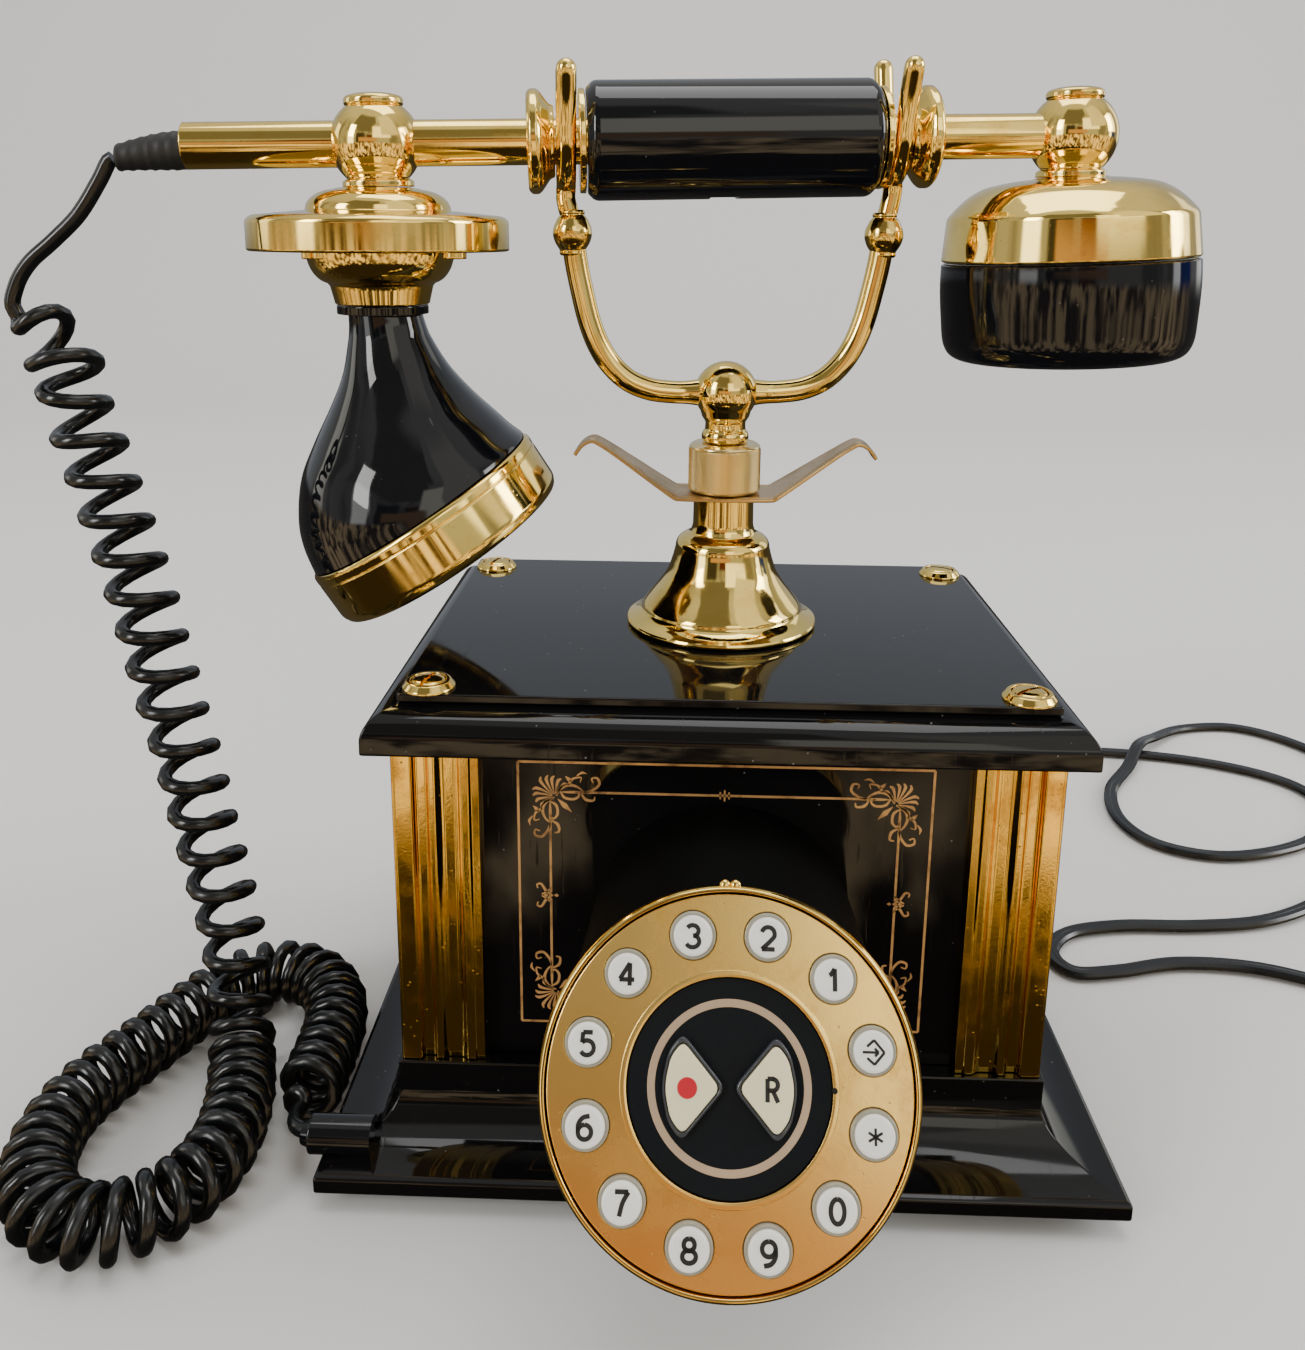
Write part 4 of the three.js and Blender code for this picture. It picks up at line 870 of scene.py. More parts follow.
def knurling(finish: Material) -> Recipe:
    """Makes the recipe for rows of diamond points wrapped round a cylinder."""
    recipe = Recipe("Knurling", [("Radius", "NodeSocketFloat"), ("Height", "NodeSocketFloat"),
                                 ("Columns", "NodeSocketInt"), ("Rows", "NodeSocketInt"),
                                 ("Relief", "NodeSocketFloat")])
    tree, given = recipe.tree, recipe.given
    radius = given.outputs["Radius"]
    around = tree.math("MULTIPLY", radius, TURN)
    grid = tree.add("GeometryNodeMeshGrid", Size_X=around, Size_Y=given.outputs["Height"],
                    Vertices_X=given.outputs["Columns"], Vertices_Y=given.outputs["Rows"])
    pitch = tree.math("DIVIDE", around, given.outputs["Columns"])
    index = tree.add("GeometryNodeInputIndex")
    row = tree.math("MODULO", index.outputs[0], given.outputs["Rows"])
    odd = tree.math("MODULO", row, 2.0)
    shift = tree.add("ShaderNodeCombineXYZ",
                     X=tree.math("MULTIPLY", odd, tree.math("MULTIPLY", pitch, 0.5)))
    staggered = tree.add("GeometryNodeSetPosition", Geometry=grid.outputs[0], Offset=shift.outputs[0])
    capped = tree.add("GeometryNodeMeshCone", {"fill_type": "NGON"}, Vertices=4,
                      Radius_Top=tree.math("MULTIPLY", pitch, 0.1),
                      Radius_Bottom=tree.math("MULTIPLY", pitch, 0.52), Depth=given.outputs["Relief"])
    studs = tree.add("GeometryNodeInstanceOnPoints", Points=staggered.outputs[0],
                     Instance=capped.outputs["Mesh"])
    real = tree.add("GeometryNodeRealizeInstances", Geometry=studs.outputs[0])
    position = tree.add("GeometryNodeInputPosition")
    parts = tree.add("ShaderNodeSeparateXYZ", Vector=position.outputs[0])
    angle = tree.math("DIVIDE", parts.outputs[0], radius)
    far = tree.math("ADD", parts.outputs[2], radius)
    wrapped = tree.add("ShaderNodeCombineXYZ", X=tree.math("MULTIPLY", far, tree.math("COSINE", angle)),
                       Y=tree.math("MULTIPLY", far, tree.math("SINE", angle)), Z=parts.outputs[1])
    bent = tree.add("GeometryNodeSetPosition", Geometry=real.outputs[0], Position=wrapped.outputs[0])
    recipe.end(bent.outputs[0], finish)
    return recipe


def perforation(finish: Material) -> Recipe:
    """Makes the recipe for a round field of staggered holes."""
    recipe = Recipe("Perforation", [("Object", "NodeSocketObject"), ("Radius", "NodeSocketFloat"),
                                    ("Pitch", "NodeSocketFloat"), ("Rows", "NodeSocketInt")])
    tree, given = recipe.tree, recipe.given
    pitch, rows = given.outputs["Pitch"], given.outputs["Rows"]
    span = tree.math("MULTIPLY", pitch, tree.math("SUBTRACT", rows, 1.0))
    grid = tree.add("GeometryNodeMeshGrid", Size_X=span,
                    Size_Y=tree.math("MULTIPLY", span, math.sin(TURN / 6)),
                    Vertices_X=rows, Vertices_Y=rows)
    index = tree.add("GeometryNodeInputIndex")
    odd = tree.math("MODULO", tree.math("MODULO", index.outputs[0], rows), 2.0)
    shift = tree.add("ShaderNodeCombineXYZ",
                     X=tree.math("MULTIPLY", odd, tree.math("MULTIPLY", pitch, 0.5)))
    staggered = tree.add("GeometryNodeSetPosition", Geometry=grid.outputs[0], Offset=shift.outputs[0])
    position = tree.add("GeometryNodeInputPosition")
    reach = tree.add("ShaderNodeVectorMath", {"operation": "LENGTH"}, _0=position.outputs[0])
    outside = tree.add("FunctionNodeCompare", {"data_type": "FLOAT", "operation": "GREATER_THAN"},
                       _0=reach.outputs["Value"], _1=given.outputs["Radius"])
    kept = tree.add("GeometryNodeDeleteGeometry", {"domain": "POINT"}, Geometry=staggered.outputs[0],
                    Selection=outside.outputs[0])
    source = tree.add("GeometryNodeObjectInfo", Object=given.outputs["Object"])
    copies = tree.add("GeometryNodeInstanceOnPoints", Points=kept.outputs[0],
                      Instance=source.outputs["Geometry"])
    recipe.end(copies.outputs[0], finish)
    return recipe


def pattern_object(name: str, shape: Shape) -> bpy.types.Object:
    """Returns an object that a recipe copies; it isn't in the scene itself."""
    return bpy.data.objects.new(name, to_mesh(name, shape, Matrix.Identity(4)))


# ----------------------------------------------------------------------------------------------
# Places in the model
# ----------------------------------------------------------------------------------------------


def middle(node: str) -> Vector:
    """Returns the middle of a node's box."""
    low, high = (Vector(corner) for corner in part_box(node))
    return (low + high) / 2


def level(node: str, top: bool = True) -> float:
    """Returns the height of a node's top or bottom, in metres."""
    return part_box(node)[1 if top else 0][2]


class Places:
    """Placing matrices, from millimetres in an assembly's frame to metres in the model's."""

    def __init__(self, frame: dict) -> None:
        """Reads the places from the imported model."""
        joints = {joint["name"]: joint for joint in frame["joints"]}
        stem = middle("bell")
        self.stem = Vector((stem.x, stem.y, 0.0))
        scale = Matrix.Scale(MM, 4)
        self.floor = Matrix.Translation(self.stem) @ scale
        press = Vector(joints["press_0"]["axis"]).normalized()
        self.dial_normal = -press
        self.dial_tilt = math.asin(self.dial_normal.z)
        centre = (middle("key_mute") + middle("key_recall")) / 2 - self.dial_normal * Dial.key_middle * MM
        self.dial = Matrix.Translation(centre) @ Matrix.Rotation(math.pi / 2 - self.dial_tilt, 4,
                                                                 "X") @ scale
        ends = [middle("inner_flange_left"), middle("inner_flange_right")]
        along = ends[1] - ends[0]
        self.turn = math.atan2(along.y, along.x)
        self.lean = math.atan2(along.z, math.hypot(along.x, along.y))
        yaw = Matrix.Rotation(self.turn, 4, "Z")
        hub = level("knurled_collar") + Cradle.hub_rise * MM
        self.cradle = Matrix.Translation((self.stem.x, self.stem.y, hub)) @ yaw @ scale
        axis = (ends[0] + ends[1]) / 2
        self.handset = Matrix.Translation(axis) @ yaw @ Matrix.Rotation(-self.lean, 4, "Y") @ scale

    def at_ball(self, offset: float, lean: float) -> Matrix:
        """Returns the frame of an end piece that hangs under a ball, with a further lean in degrees."""
        return (self.handset @ Matrix.Translation((offset, 0, 0))
                @ Matrix.Rotation(-math.radians(lean), 4, "Y"))


# ----------------------------------------------------------------------------------------------
# Camera, lights and floor
# ----------------------------------------------------------------------------------------------


@dataclass(frozen=True)
class Pane:
    """A lit or dark patch of the room, by its angle about Z (0 is the front) and its height."""

    left: float
    right: float
    low: float
    high: float
    color: tuple[float, float, float]


@dataclass
class Studio:
    """A pale floor, soft lights and the camera."""

    lens: float = 31.507
    shift: tuple[float, float] = (0.00396, -0.1296)
    pitch: float = 12.911
    roll: float = -0.493
    yaw: float = -1.859
    eye: tuple[float, float, float] = (-10.309, -305.195, 102.92)  # from the top plate's middle
    panes: tuple[Pane, ...] = (
        Pane(-1.02, -0.74, -0.08, 0.42, (3.6, 3.6, 3.5)),
        Pane(-1.9, -1.62, -0.1, 0.45, (2.2, 2.15, 1.9)),
        Pane(-0.62, -0.24, -0.42, 0.36, (0.06, 0.055, 0.045)),
        Pane(-0.9, 0.3, 0.42, 0.9, (0.2, 0.19, 0.16)),
        Pane(-0.13, 0.11, -0.6, 0.3, (0.12, 0.032, 0.018)),
        Pane(0.2, 0.8, -0.1, 0.7, (0.6, 0.58, 0.52)),
        Pane(0.12, 0.9, 0.2, 0.62, (2.2, 2.1, 1.8)),
        Pane(-0.5, 0.3, 0.03, 0.19, (0.75, 0.42, 0.2)),
        Pane(0.5, 1.3, 0.3, 0.9, (1.1, 1.05, 0.95)),
        Pane(1.45, 1.62, -0.1, 0.5, (3.4, 3.5, 3.6)),
        Pane(1.72, 1.9, 0.1, 0.5, (3.0, 3.1, 3.3)),
        Pane(1.62, 1.9, -0.3, 0.1, (0.03, 0.06, 0.35)),
        Pane(2.15, 2.4, -0.05, 0.5, (1.6, 1.6, 1.5)))

    def camera(self, top: Vector) -> None:
        """Sets the camera up.

        Args:
            top: the middle of the top plate's upper face, in metres.
        """
        pitch, roll, yaw = (math.radians(a) for a in (self.pitch, self.roll, self.yaw))
        ahead = Vector((math.sin(yaw) * math.cos(pitch), math.cos(yaw) * math.cos(pitch), -math.sin(pitch)))
        right = Vector((math.cos(yaw), -math.sin(yaw), 0))
        down = ahead.cross(right)
        right_rolled = right * math.cos(roll) + down * math.sin(roll)
        down_rolled = down * math.cos(roll) - right * math.sin(roll)
        data = bpy.data.cameras.new("camera")
        data.lens = self.lens
        data.shift_x, data.shift_y = self.shift
        data.clip_start = 0.02
        camera = bpy.data.objects.new("camera", data)
        bpy.context.scene.collection.objects.link(camera)
        turn = Matrix((right_rolled, -down_rolled, -ahead)).transposed().to_4x4()
        camera.matrix_world = Matrix.Translation(top + Vector(self.eye) * MM) @ turn
        bpy.context.scene.camera = camera

    def floor(self) -> None:
        """Lays a plain pale floor that curves up far behind."""
        size, bend, high = 6.0, 0.7, 2.6
        rows = [(-size, 0.0), (1.2, 0.0)]
        rows += [(1.2 + bend * math.sin(math.radians(a)), bend - bend * math.cos(math.radians(a)))
                 for a in range(10, 91, 10)]
        rows.append((1.2 + bend, high))
        shape = Shape()
        for y, z in rows:
            shape.row([Vector((-size, y, z)), Vector((size, y, z))])
        for i in range(len(rows) - 1):
            shape.faces.append((2 * i, 2 * i + 1, 2 * i + 3, 2 * i + 2))
        mesh = to_mesh("floor", shape, Matrix.Identity(4))
        floor = bpy.data.objects.new("floor", mesh)
        bpy.context.scene.collection.objects.link(floor)
        paper = bpy.data.materials.new("Pale paper")
        paper.use_nodes = True
        surface = paper.node_tree.nodes["Principled BSDF"]
        surface.inputs["Base Color"].default_value = rgb(0.78, 0.78, 0.79)
        surface.inputs["Roughness"].default_value = 0.9
        mesh.materials.append(paper)
        floor.visible_glossy = False

    @staticmethod
    def light(name: str, place: Corner, target: Corner, size: tuple[float, float], power: float,
              color: tuple[float, float, float] = (1.0, 1.0, 1.0)) -> None:
        """Adds one soft area light that faces a point."""
        data = bpy.data.lights.new(name, "AREA")
        data.shape = "RECTANGLE"
        data.size, data.size_y = size
        data.energy = power
        data.color = color
        lamp = bpy.data.objects.new(name, data)
        bpy.context.scene.collection.objects.link(lamp)
        way = Vector(target) - Vector(place)
        lamp.matrix_world = Matrix.Translation(place) @ way.to_track_quat("-Z", "Y").to_matrix().to_4x4()

    def lights(self) -> None:
        """Hangs the lights and sets the room's glow."""
        self.light("window left", (-1.5, -1.2, 1.1), (0, 0, 0.12), (0.5, 0.9), 16, (1.0, 0.99, 0.96))
        self.light("window right", (1.9, 0.0, 0.9), (0, 0, 0.12), (0.6, 0.9), 15, (1.0, 0.99, 0.98))
        self.light("ceiling", (0.1, 0.3, 2.0), (0, 0, 0.1), (1.4, 1.0), 15)
        world = bpy.data.worlds.new("room")
        bpy.context.scene.world = world
        world.use_nodes = True
        tree = Tree(world.node_tree)
        ground = world.node_tree.nodes["Background"]
        way = tree.add("ShaderNodeTexCoord")
        parts = tree.add("ShaderNodeSeparateXYZ", Vector=way.outputs["Generated"])
        right, back, up = parts.outputs
        around = tree.math("ARCTAN2", right, tree.math("MULTIPLY", back, -1.0))
        stretched = tree.add("ShaderNodeMapping", Vector=way.outputs["Generated"], Scale=(3.0, 3.0, 1.0))
        clutter = tree.add("ShaderNodeTexNoise", Vector=stretched.outputs[0], Scale=1.6, Detail=3.0)
        walls = tree.blend(tree.steps(clutter.outputs[0], 0.4, 0.6), rgb(0.26, 0.25, 0.23),
                           rgb(0.5, 0.49, 0.46))
        walls = tree.blend(tree.steps(back, 0.2, 0.75), walls, rgb(0.47, 0.5, 0.55))
        lit = tree.blend(tree.steps(up, 0.45, 0.85), walls, rgb(0.72, 0.71, 0.69))
        for pane in self.panes:
            inside = self._pane(tree, around, up, pane)
            lit = tree.blend(inside, lit, rgb(*pane.color))
        streaks = tree.add("ShaderNodeTexNoise", Vector=stretched.outputs[0], Scale=5.0, Detail=4.0)
        rug = tree.blend(tree.steps(streaks.outputs[0], 0.4, 0.62), rgb(0.12, 0.075, 0.04),
                         rgb(1.7, 1.25, 0.7))
        near = tree.math("ADD", up, tree.math("MULTIPLY", streaks.outputs[0], 0.25))
        floor = tree.blend(tree.steps(near, -0.34, -0.4), rug, rgb(0.03, 0.022, 0.015))
        floor = tree.blend(tree.steps(back, -0.2, 0.5), floor, rgb(0.06, 0.055, 0.05))
        lit = tree.blend(tree.steps(up, -0.06, 0.02), floor, lit)
        tree.feed(ground.inputs["Color"], lit)
        ground.inputs["Strength"].default_value = 1.0

    @staticmethod
    def _pane(tree: Tree, around: Socket, up: Socket,
              pane: Pane) -> Socket:
        """Returns where a pane is, from 0 outside it to 1 inside."""
        soft = 0.03
        sides = []
        for value, low, high in ((around, pane.left, pane.right), (up, pane.low, pane.high)):
            sides.append(tree.steps(value, low - soft, low + soft))
            sides.append(tree.steps(value, high + soft, high - soft))
        inside = tree.math("MULTIPLY", sides[0], sides[1])
        return tree.math("MULTIPLY", inside, tree.math("MULTIPLY", sides[2], sides[3]))


# ----------------------------------------------------------------------------------------------
# Cords
# ----------------------------------------------------------------------------------------------


@dataclass
class HandsetCord:
    """The curled cord from the handset's boot, down, round a loop and into the box."""

    diameter: float = 3.8
    curl_radius: float = 6.9
    hanging_pitch: float = 10.4
    lying_pitch: float = 5.9
    steps_per_turn: int = 18
    lead: tuple[Corner, ...] = (
        (-147.8, -16.85, 239.6), (-149, -16.95, 238.8), (-151.8, -17.1, 234.1), (-157.3, -17.4, 226.4),
        (-163.9, -17.7, 220.3), (-170.2, -18, 215), (-174, -18.2, 209.4), (-174.9, -18.4, 203.5))
    curls: tuple[Corner, ...] = (
        (-168, -18.4, 197.5), (-163.2, -18.4, 190), (-161.8, -18.4, 180), (-158.6, -18.4, 169),
        (-156, -18.4, 158), (-153, -18.4, 146), (-149.8, -18.4, 132), (-147, -18.6, 117),
        (-144.2, -18.8, 102), (-141, -19, 87), (-138.4, -19.4, 72), (-135.6, -20, 57), (-132.6, -21, 42),
        (-130, -23.5, 27), (-127.4, -30, 14.5), (-123.6, -41, 9.2), (-120, -53, 8.9), (-118.6, -66, 8.9),
        (-121.2, -78, 8.9), (-128.6, -87, 8.9), (-139, -91, 8.9), (-149.4, -88.2, 8.9), (-157, -80, 8.9),
        (-161, -69, 8.9), (-161.6, -57, 8.9), (-158.4, -45, 8.9), (-153, -33, 8.9), (-147.4, -20, 8.9),
        (-141, -7, 8.9), (-131, 0.6, 8.9), (-119, 0, 8.9), (-109.6, -8, 8.9), (-105, -20, 8.9),
        (-103.8, -33, 8.9), (-103.8, -46, 8.9), (-103.9, -54, 9.4))
    tail: tuple[Corner, ...] = ((-103.6, -59, 10.4), (-101.4, -63.6, 12), (-97.7, -65.6, 12.5))

    def centre_line(self) -> list[Vector]:
        """Returns the cord's own centre line, in millimetres from the stem at the floor."""
        route = spline([*self.lead, *self.curls, *self.tail], 60)
        marks = [0.0]
        for a, b in zip(route, route[1:]):
            marks.append(marks[-1] + (b - a).length)
        first = marks[(len(self.lead) - 1) * 60]
        last = marks[(len(self.lead) + len(self.curls) - 1) * 60]
        frames = travel(route)
        phase = 0.0
        line = []
        next_phase = 0.0
        previous = 0.0
        for point, (_, side, up), mark in zip(route, frames, marks):
            opened = min(max((mark - first) / 9.0, 0.0), 1.0) * min(max((last - mark) / 7.0, 0.0), 1.0)
            radius = self.curl_radius * (opened * opened * (3 - 2 * opened))
            low = min(max((20.0 - point.z) / 10.0, 0.0), 1.0)
            pitch = self.hanging_pitch + (self.lying_pitch - self.hanging_pitch) * low
            if opened > 0.0:
                phase += TURN * (mark - previous) / pitch
            previous = mark
            step = TURN / self.steps_per_turn
            is_due = phase >= next_phase if opened > 0.0 else mark - (line[-1][1] if line else -9.0) > 1.2
            if is_due:
                offset = side * math.cos(phase) * radius + up * math.sin(phase) * radius
                line.append((point + offset, mark))
                next_phase = phase + step
        end = route[-1]
        points = [p for p, _ in line]
        if (points[-1] - end).length > 0.3:
            points.append(end)
        return points

    def build(self, shop: Workshop, places: Places, palette: Palette) -> None:
        line = self.centre_line()
        shape = tube(line, self.diameter / 2, sides=12, round_ends=False)
        obj = shop.shape("handset_cord", shape, places.floor, palette.cord, "", "cord_black",
                         ("handset_cord_lead", "handset_cord_curl"))
        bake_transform(obj)


@dataclass
class LineCord:
    """The flat cord to the wall, wound up behind the view with its plug."""

    width: float = 5.0
    thickness: float = 2.4
    coil_middle: tuple[float, float] = (233.0, -8.0)
    coil_radii: tuple[float, ...] = (32.1, 27.0, 21.9)
    layers: int = 3
    layer_rise: float = 2.45
    route: tuple[Corner, ...] = (
        (48, 84.5, 14), (48.3, 91, 12.8), (49.4, 99, 7.4), (52.6, 108, 3), (60, 120, 2), (74, 136, 2),
        (96, 156, 2), (124, 173, 2), (156, 183, 2), (192, 181, 2), (222, 172, 2), (242, 157, 2),
        (247, 137, 2), (236, 116, 2), (214, 101, 2), (188, 95, 2), (168, 103, 2), (161, 122, 2),
        (166, 146, 2), (180, 166, 3.4), (190, 182, 6.2), (202, 196, 3.6), (220, 210, 2), (244, 213, 2),
        (262, 200, 2), (272, 178, 2), (273, 150, 2), (262, 122, 2), (244, 100, 2), (226, 80, 2),
        (206, 64, 2), (184, 53, 2), (160, 49, 2), (136, 48, 2), (117, 43, 2), (108, 32, 2), (112, 22, 2),
        (126, 23, 2), (146, 28, 2), (168, 27, 2), (186, 20, 2), (199, 9.8, 2))

    def coil(self) -> list[Vector]:
        """Returns the coil's line: turns beside each other, in layers, ending at the plug."""
        start = math.atan2(self.route[-1][1] - self.coil_middle[1], self.route[-1][0] - self.coil_middle[0])
        radii: list[tuple[float, float]] = []
        for layer in range(self.layers):
            order = self.coil_radii if layer % 2 == 0 else tuple(reversed(self.coil_radii))
            radii += [(radius, 1.9 + layer * self.layer_rise) for radius in order]
        per_turn = 40
        line = []
        angle = start + math.radians(24)
        for index, (radius, height) in enumerate(radii):
            after = radii[min(index + 1, len(radii) - 1)]
            for k in range(per_turn):
                t = k / per_turn
                ease = min(max((t - 0.75) / 0.25, 0.0), 1.0)
                ease = ease * ease * (3 - 2 * ease)
                r = radius + (after[0] - radius) * ease
                z = height + (after[1] - height) * ease
                a = angle - TURN * (index + t)
                line.append(Vector((self.coil_middle[0] + r * math.cos(a),
                                    self.coil_middle[1] + r * math.sin(a), z)))
        return line

    def build(self, shop: Workshop, places: Places, palette: Palette) -> None:
        line = [*spline(self.route, 6)[:-1], *self.coil()]
        forward = travel(line)
        half_w, half_t = self.width / 2, self.thickness / 2
        section = rounded([(half_w, -half_t, 0.8), (half_w, half_t, 0.8), (0.35, half_t, 0.2),
                           (0.0, half_t - 0.3, 0.2), (-0.35, half_t, 0.2), (-half_w, half_t, 0.8),
                           (-half_w, -half_t, 0.8), (-0.35, -half_t, 0.2), (0.0, 0.3 - half_t, 0.2),
                           (0.35, -half_t, 0.2)], steps=1, closed=True)
        outlines = []
        for centre, (ahead, _, _) in zip(line, forward):
            across = ahead.cross(Vector((0, 0, 1))).normalized()
            up = across.cross(ahead)
            outlines.append([centre + across * p.x + up * p.y for p in section])
        obj = shop.shape("line_cord", lofted(outlines), places.floor, palette.cord, "base", "cord_black",
                         ("line_cord", "line_coil"))


# ----------------------------------------------------------------------------------------------
# Base: plinth, case, columns, cornice, top plate and gilding
# ----------------------------------------------------------------------------------------------


def slab(half_width: float, half_depth: float, low: float, high: float, ease: float,
         corner: float) -> Shape:
    """Makes a plate with eased edges and rounded corners."""
    outlines = []
    for out, height in (p[:2] for p in rounded([(-4 * ease, low), (0, low, ease), (0, high, ease),
                                                (-4 * ease, high)])):
        outline = []
        for quarter, (sx, sy) in enumerate([(1, 1), (-1, 1), (-1, -1), (1, -1)]):
            for k in range(5):
                a = math.radians(90 * quarter + 22.5 * k)
                outline.append(Vector((sx * (half_width + out - corner) + corner * math.cos(a),
                                       sy * (half_depth + out - corner) + corner * math.sin(a), height)))
        outlines.append(outline)
    return lofted(outlines)


@dataclass
class Screw:
    """A slotted screw in a cup washer, standing on height 0."""

    washer: float = 6.1
    head: float = 3.9
    slot: float = 0.45

    def shape(self) -> Shape:
        """Returns the screw."""
        washer = revolved(rounded([(self.head + 0.25, 0.0), (self.washer, 0.0, 0.15),
                                   (self.washer, 0.5, 0.2),
                                   (self.head + 1.1, 1.9, 0.4), (self.head + 0.25, 1.9, 0.2)], closed=True),
                          64, closed=True)
        floor = revolved(placed_profile(self.head, 0.1, 0.9), 48)
        halves = Shape()
        for sign in (1, -1):
            outlines = []
            for size, height in ((1.0, 0.5), (1.0, 1.5), (0.94, 1.85), (0.8, 2.1), (0.5, 2.3),
                                 (0.25, 2.36)):
                reach = self.head * size
                start = math.asin(min(self.slot / reach, 0.99))
                angles = [start + (math.pi - 2 * start) * k / 24 for k in range(25)]
                outlines.append([Vector((reach * math.cos(a), sign * reach * math.sin(a), height))
                                 for a in angles])
            halves.join(lofted(outlines))
        return washer.join(floor, halves)


class GiltPen:
    """Draws thin gilt figures on a plane, with X across and Y up."""

    film = 0.05
    line = 0.55

    def __init__(self) -> None:
        """Starts an empty drawing."""
        self.shape = Shape()

    def stroke(self, line: Sequence[Corner], widths: Sequence[float]) -> GiltPen:
        """Draws a smooth line whose width changes evenly through the given widths."""
        points = spline([(x, y, 0.0) for x, y in line],
                        8) if len(line) > 2 else [Vector((*p, 0)) for p in line]
        outlines = []
        for i, point in enumerate(points):
            ahead = points[min(i + 1, len(points) - 1)] - points[max(i - 1, 0)]
            across = Vector((-ahead.y, ahead.x, 0)).normalized()
            place = i / (len(points) - 1) * (len(widths) - 1)
            low = min(int(place), len(widths) - 2)
            half = 0.5 * (widths[low] + (widths[low + 1] - widths[low]) * (place - low)) + 0.01
            up = Vector((0, 0, self.film))
            outlines.append([point - across * half, point + across * half, point + across * half + up,
                             point - across * half + up])
        self.shape.join(lofted(outlines))
        return self

    def both(self, line: Sequence[Corner], widths: Sequence[float]) -> GiltPen:
        """Draws a stroke and its mirror image across the diagonal."""
        self.stroke(line, widths)
        return self.stroke([(y, x) for x, y in line], widths)

    def corner(self) -> Shape:
        """Returns a corner ornament; the panel's corner is at the origin and the ornament grows inward."""
        root = 6.4
        for degrees in (-74, -52, -32, -16, 0, 16, 32, 52, 74):
            angle = math.radians(225 + degrees)
            reach = 5.9 - 0.022 * abs(degrees)
            line = []
            for share, turn in ((0.14, 0.0), (0.5, 0.0), (0.86, 0.06), (1.0, 0.2)):
                bent = angle + math.copysign(turn, degrees)
                line.append((root + reach * share * math.cos(bent), root + reach * share * math.sin(bent)))
            self.stroke(line, (0.12, 0.4, 0.75, 0.3))
        for points, widths in (
                (((6.6, 6.2), (7.6, 4.4), (9.4, 3.4), (11.6, 3.9), (13.2, 5.2)),
                 (0.3, 0.75, 0.8, 0.5, 0.3)),
                (((13.2, 5.2), (15.0, 4.6), (16.6, 3.2), (16.2, 1.6), (14.9, 1.7), (15.2, 2.8)),
                 (0.4, 0.6, 0.6, 0.4, 0.3)),
                (((9.4, 3.4), (10.6, 1.8), (12.4, 1.5), (12.2, 2.7)), (0.6, 0.5, 0.35, 0.2)),
                (((7.4, 4.8), (8.6, 6.6), (10.8, 6.9), (12.0, 5.9), (11.0, 5.1)),
                 (0.3, 0.6, 0.6, 0.4, 0.3)),
                (((12.2, 5.0), (13.4, 6.9), (15.2, 7.2), (15.6, 6.2)), (0.2, 0.7, 0.5, 0.3)),
                (((7.9, 5.2), (10.0, 5.2), (16.6, 5.2)), (0.2, 0.6, 0.55)),
                (((8.8, 1.2), (9.6, 2.0), (10.4, 2.6)), (0.1, 0.9, 0.1)),
                (((11.4, 1.1), (12.6, 0.3), (13.8, 0.5)), (0.2, 0.6, 0.1))):
            self.both(points, widths)
        self.stroke([(7.0, 7.0), (8.6, 8.6), (10.2, 10.2)], (0.1, 1.3, 0.1))
        return self.shape

    def scroll(self) -> Shape:
        """Returns the small bow in the middle of a side, which runs along Y and opens towards +X."""
        for sign in (1, -1):
            self.stroke([(0.0, 0.3 * sign), (1.2, 1.2 * sign), (2.3, 2.9 * sign), (3.3, 2.7 * sign),
                         (3.1, 1.8 * sign)], (0.5, 0.6, 0.45, 0.3))
            self.stroke([(2.2, 0.2 * sign), (1.0, 0.9 * sign), (-0.2, 2.1 * sign)], (0.3, 0.5, 0.2))
            self.stroke([(0.0, 0.8 * sign), (0.0, 7.6 * sign)], (self.line, self.line))
        for x in (-1.3, 0.0, 1.2):
            self.stroke([(x - 0.5, 0), (x, 0), (x + 0.5, 0)], (0.15, 0.9, 0.15))
        return self.shape

    def bars(self) -> Shape:
        """Returns the three short bars in the middle of the top line."""
        self.stroke([(-3.8, 0), (3.8, 0)], (self.line, self.line))
        for x, tall in ((-1.0, 0.9), (0, 1.4), (1.0, 0.9)):
            self.stroke([(x, -tall), (x, 0), (x, tall)], (0.3, 0.5, 0.3))
        return self.shape


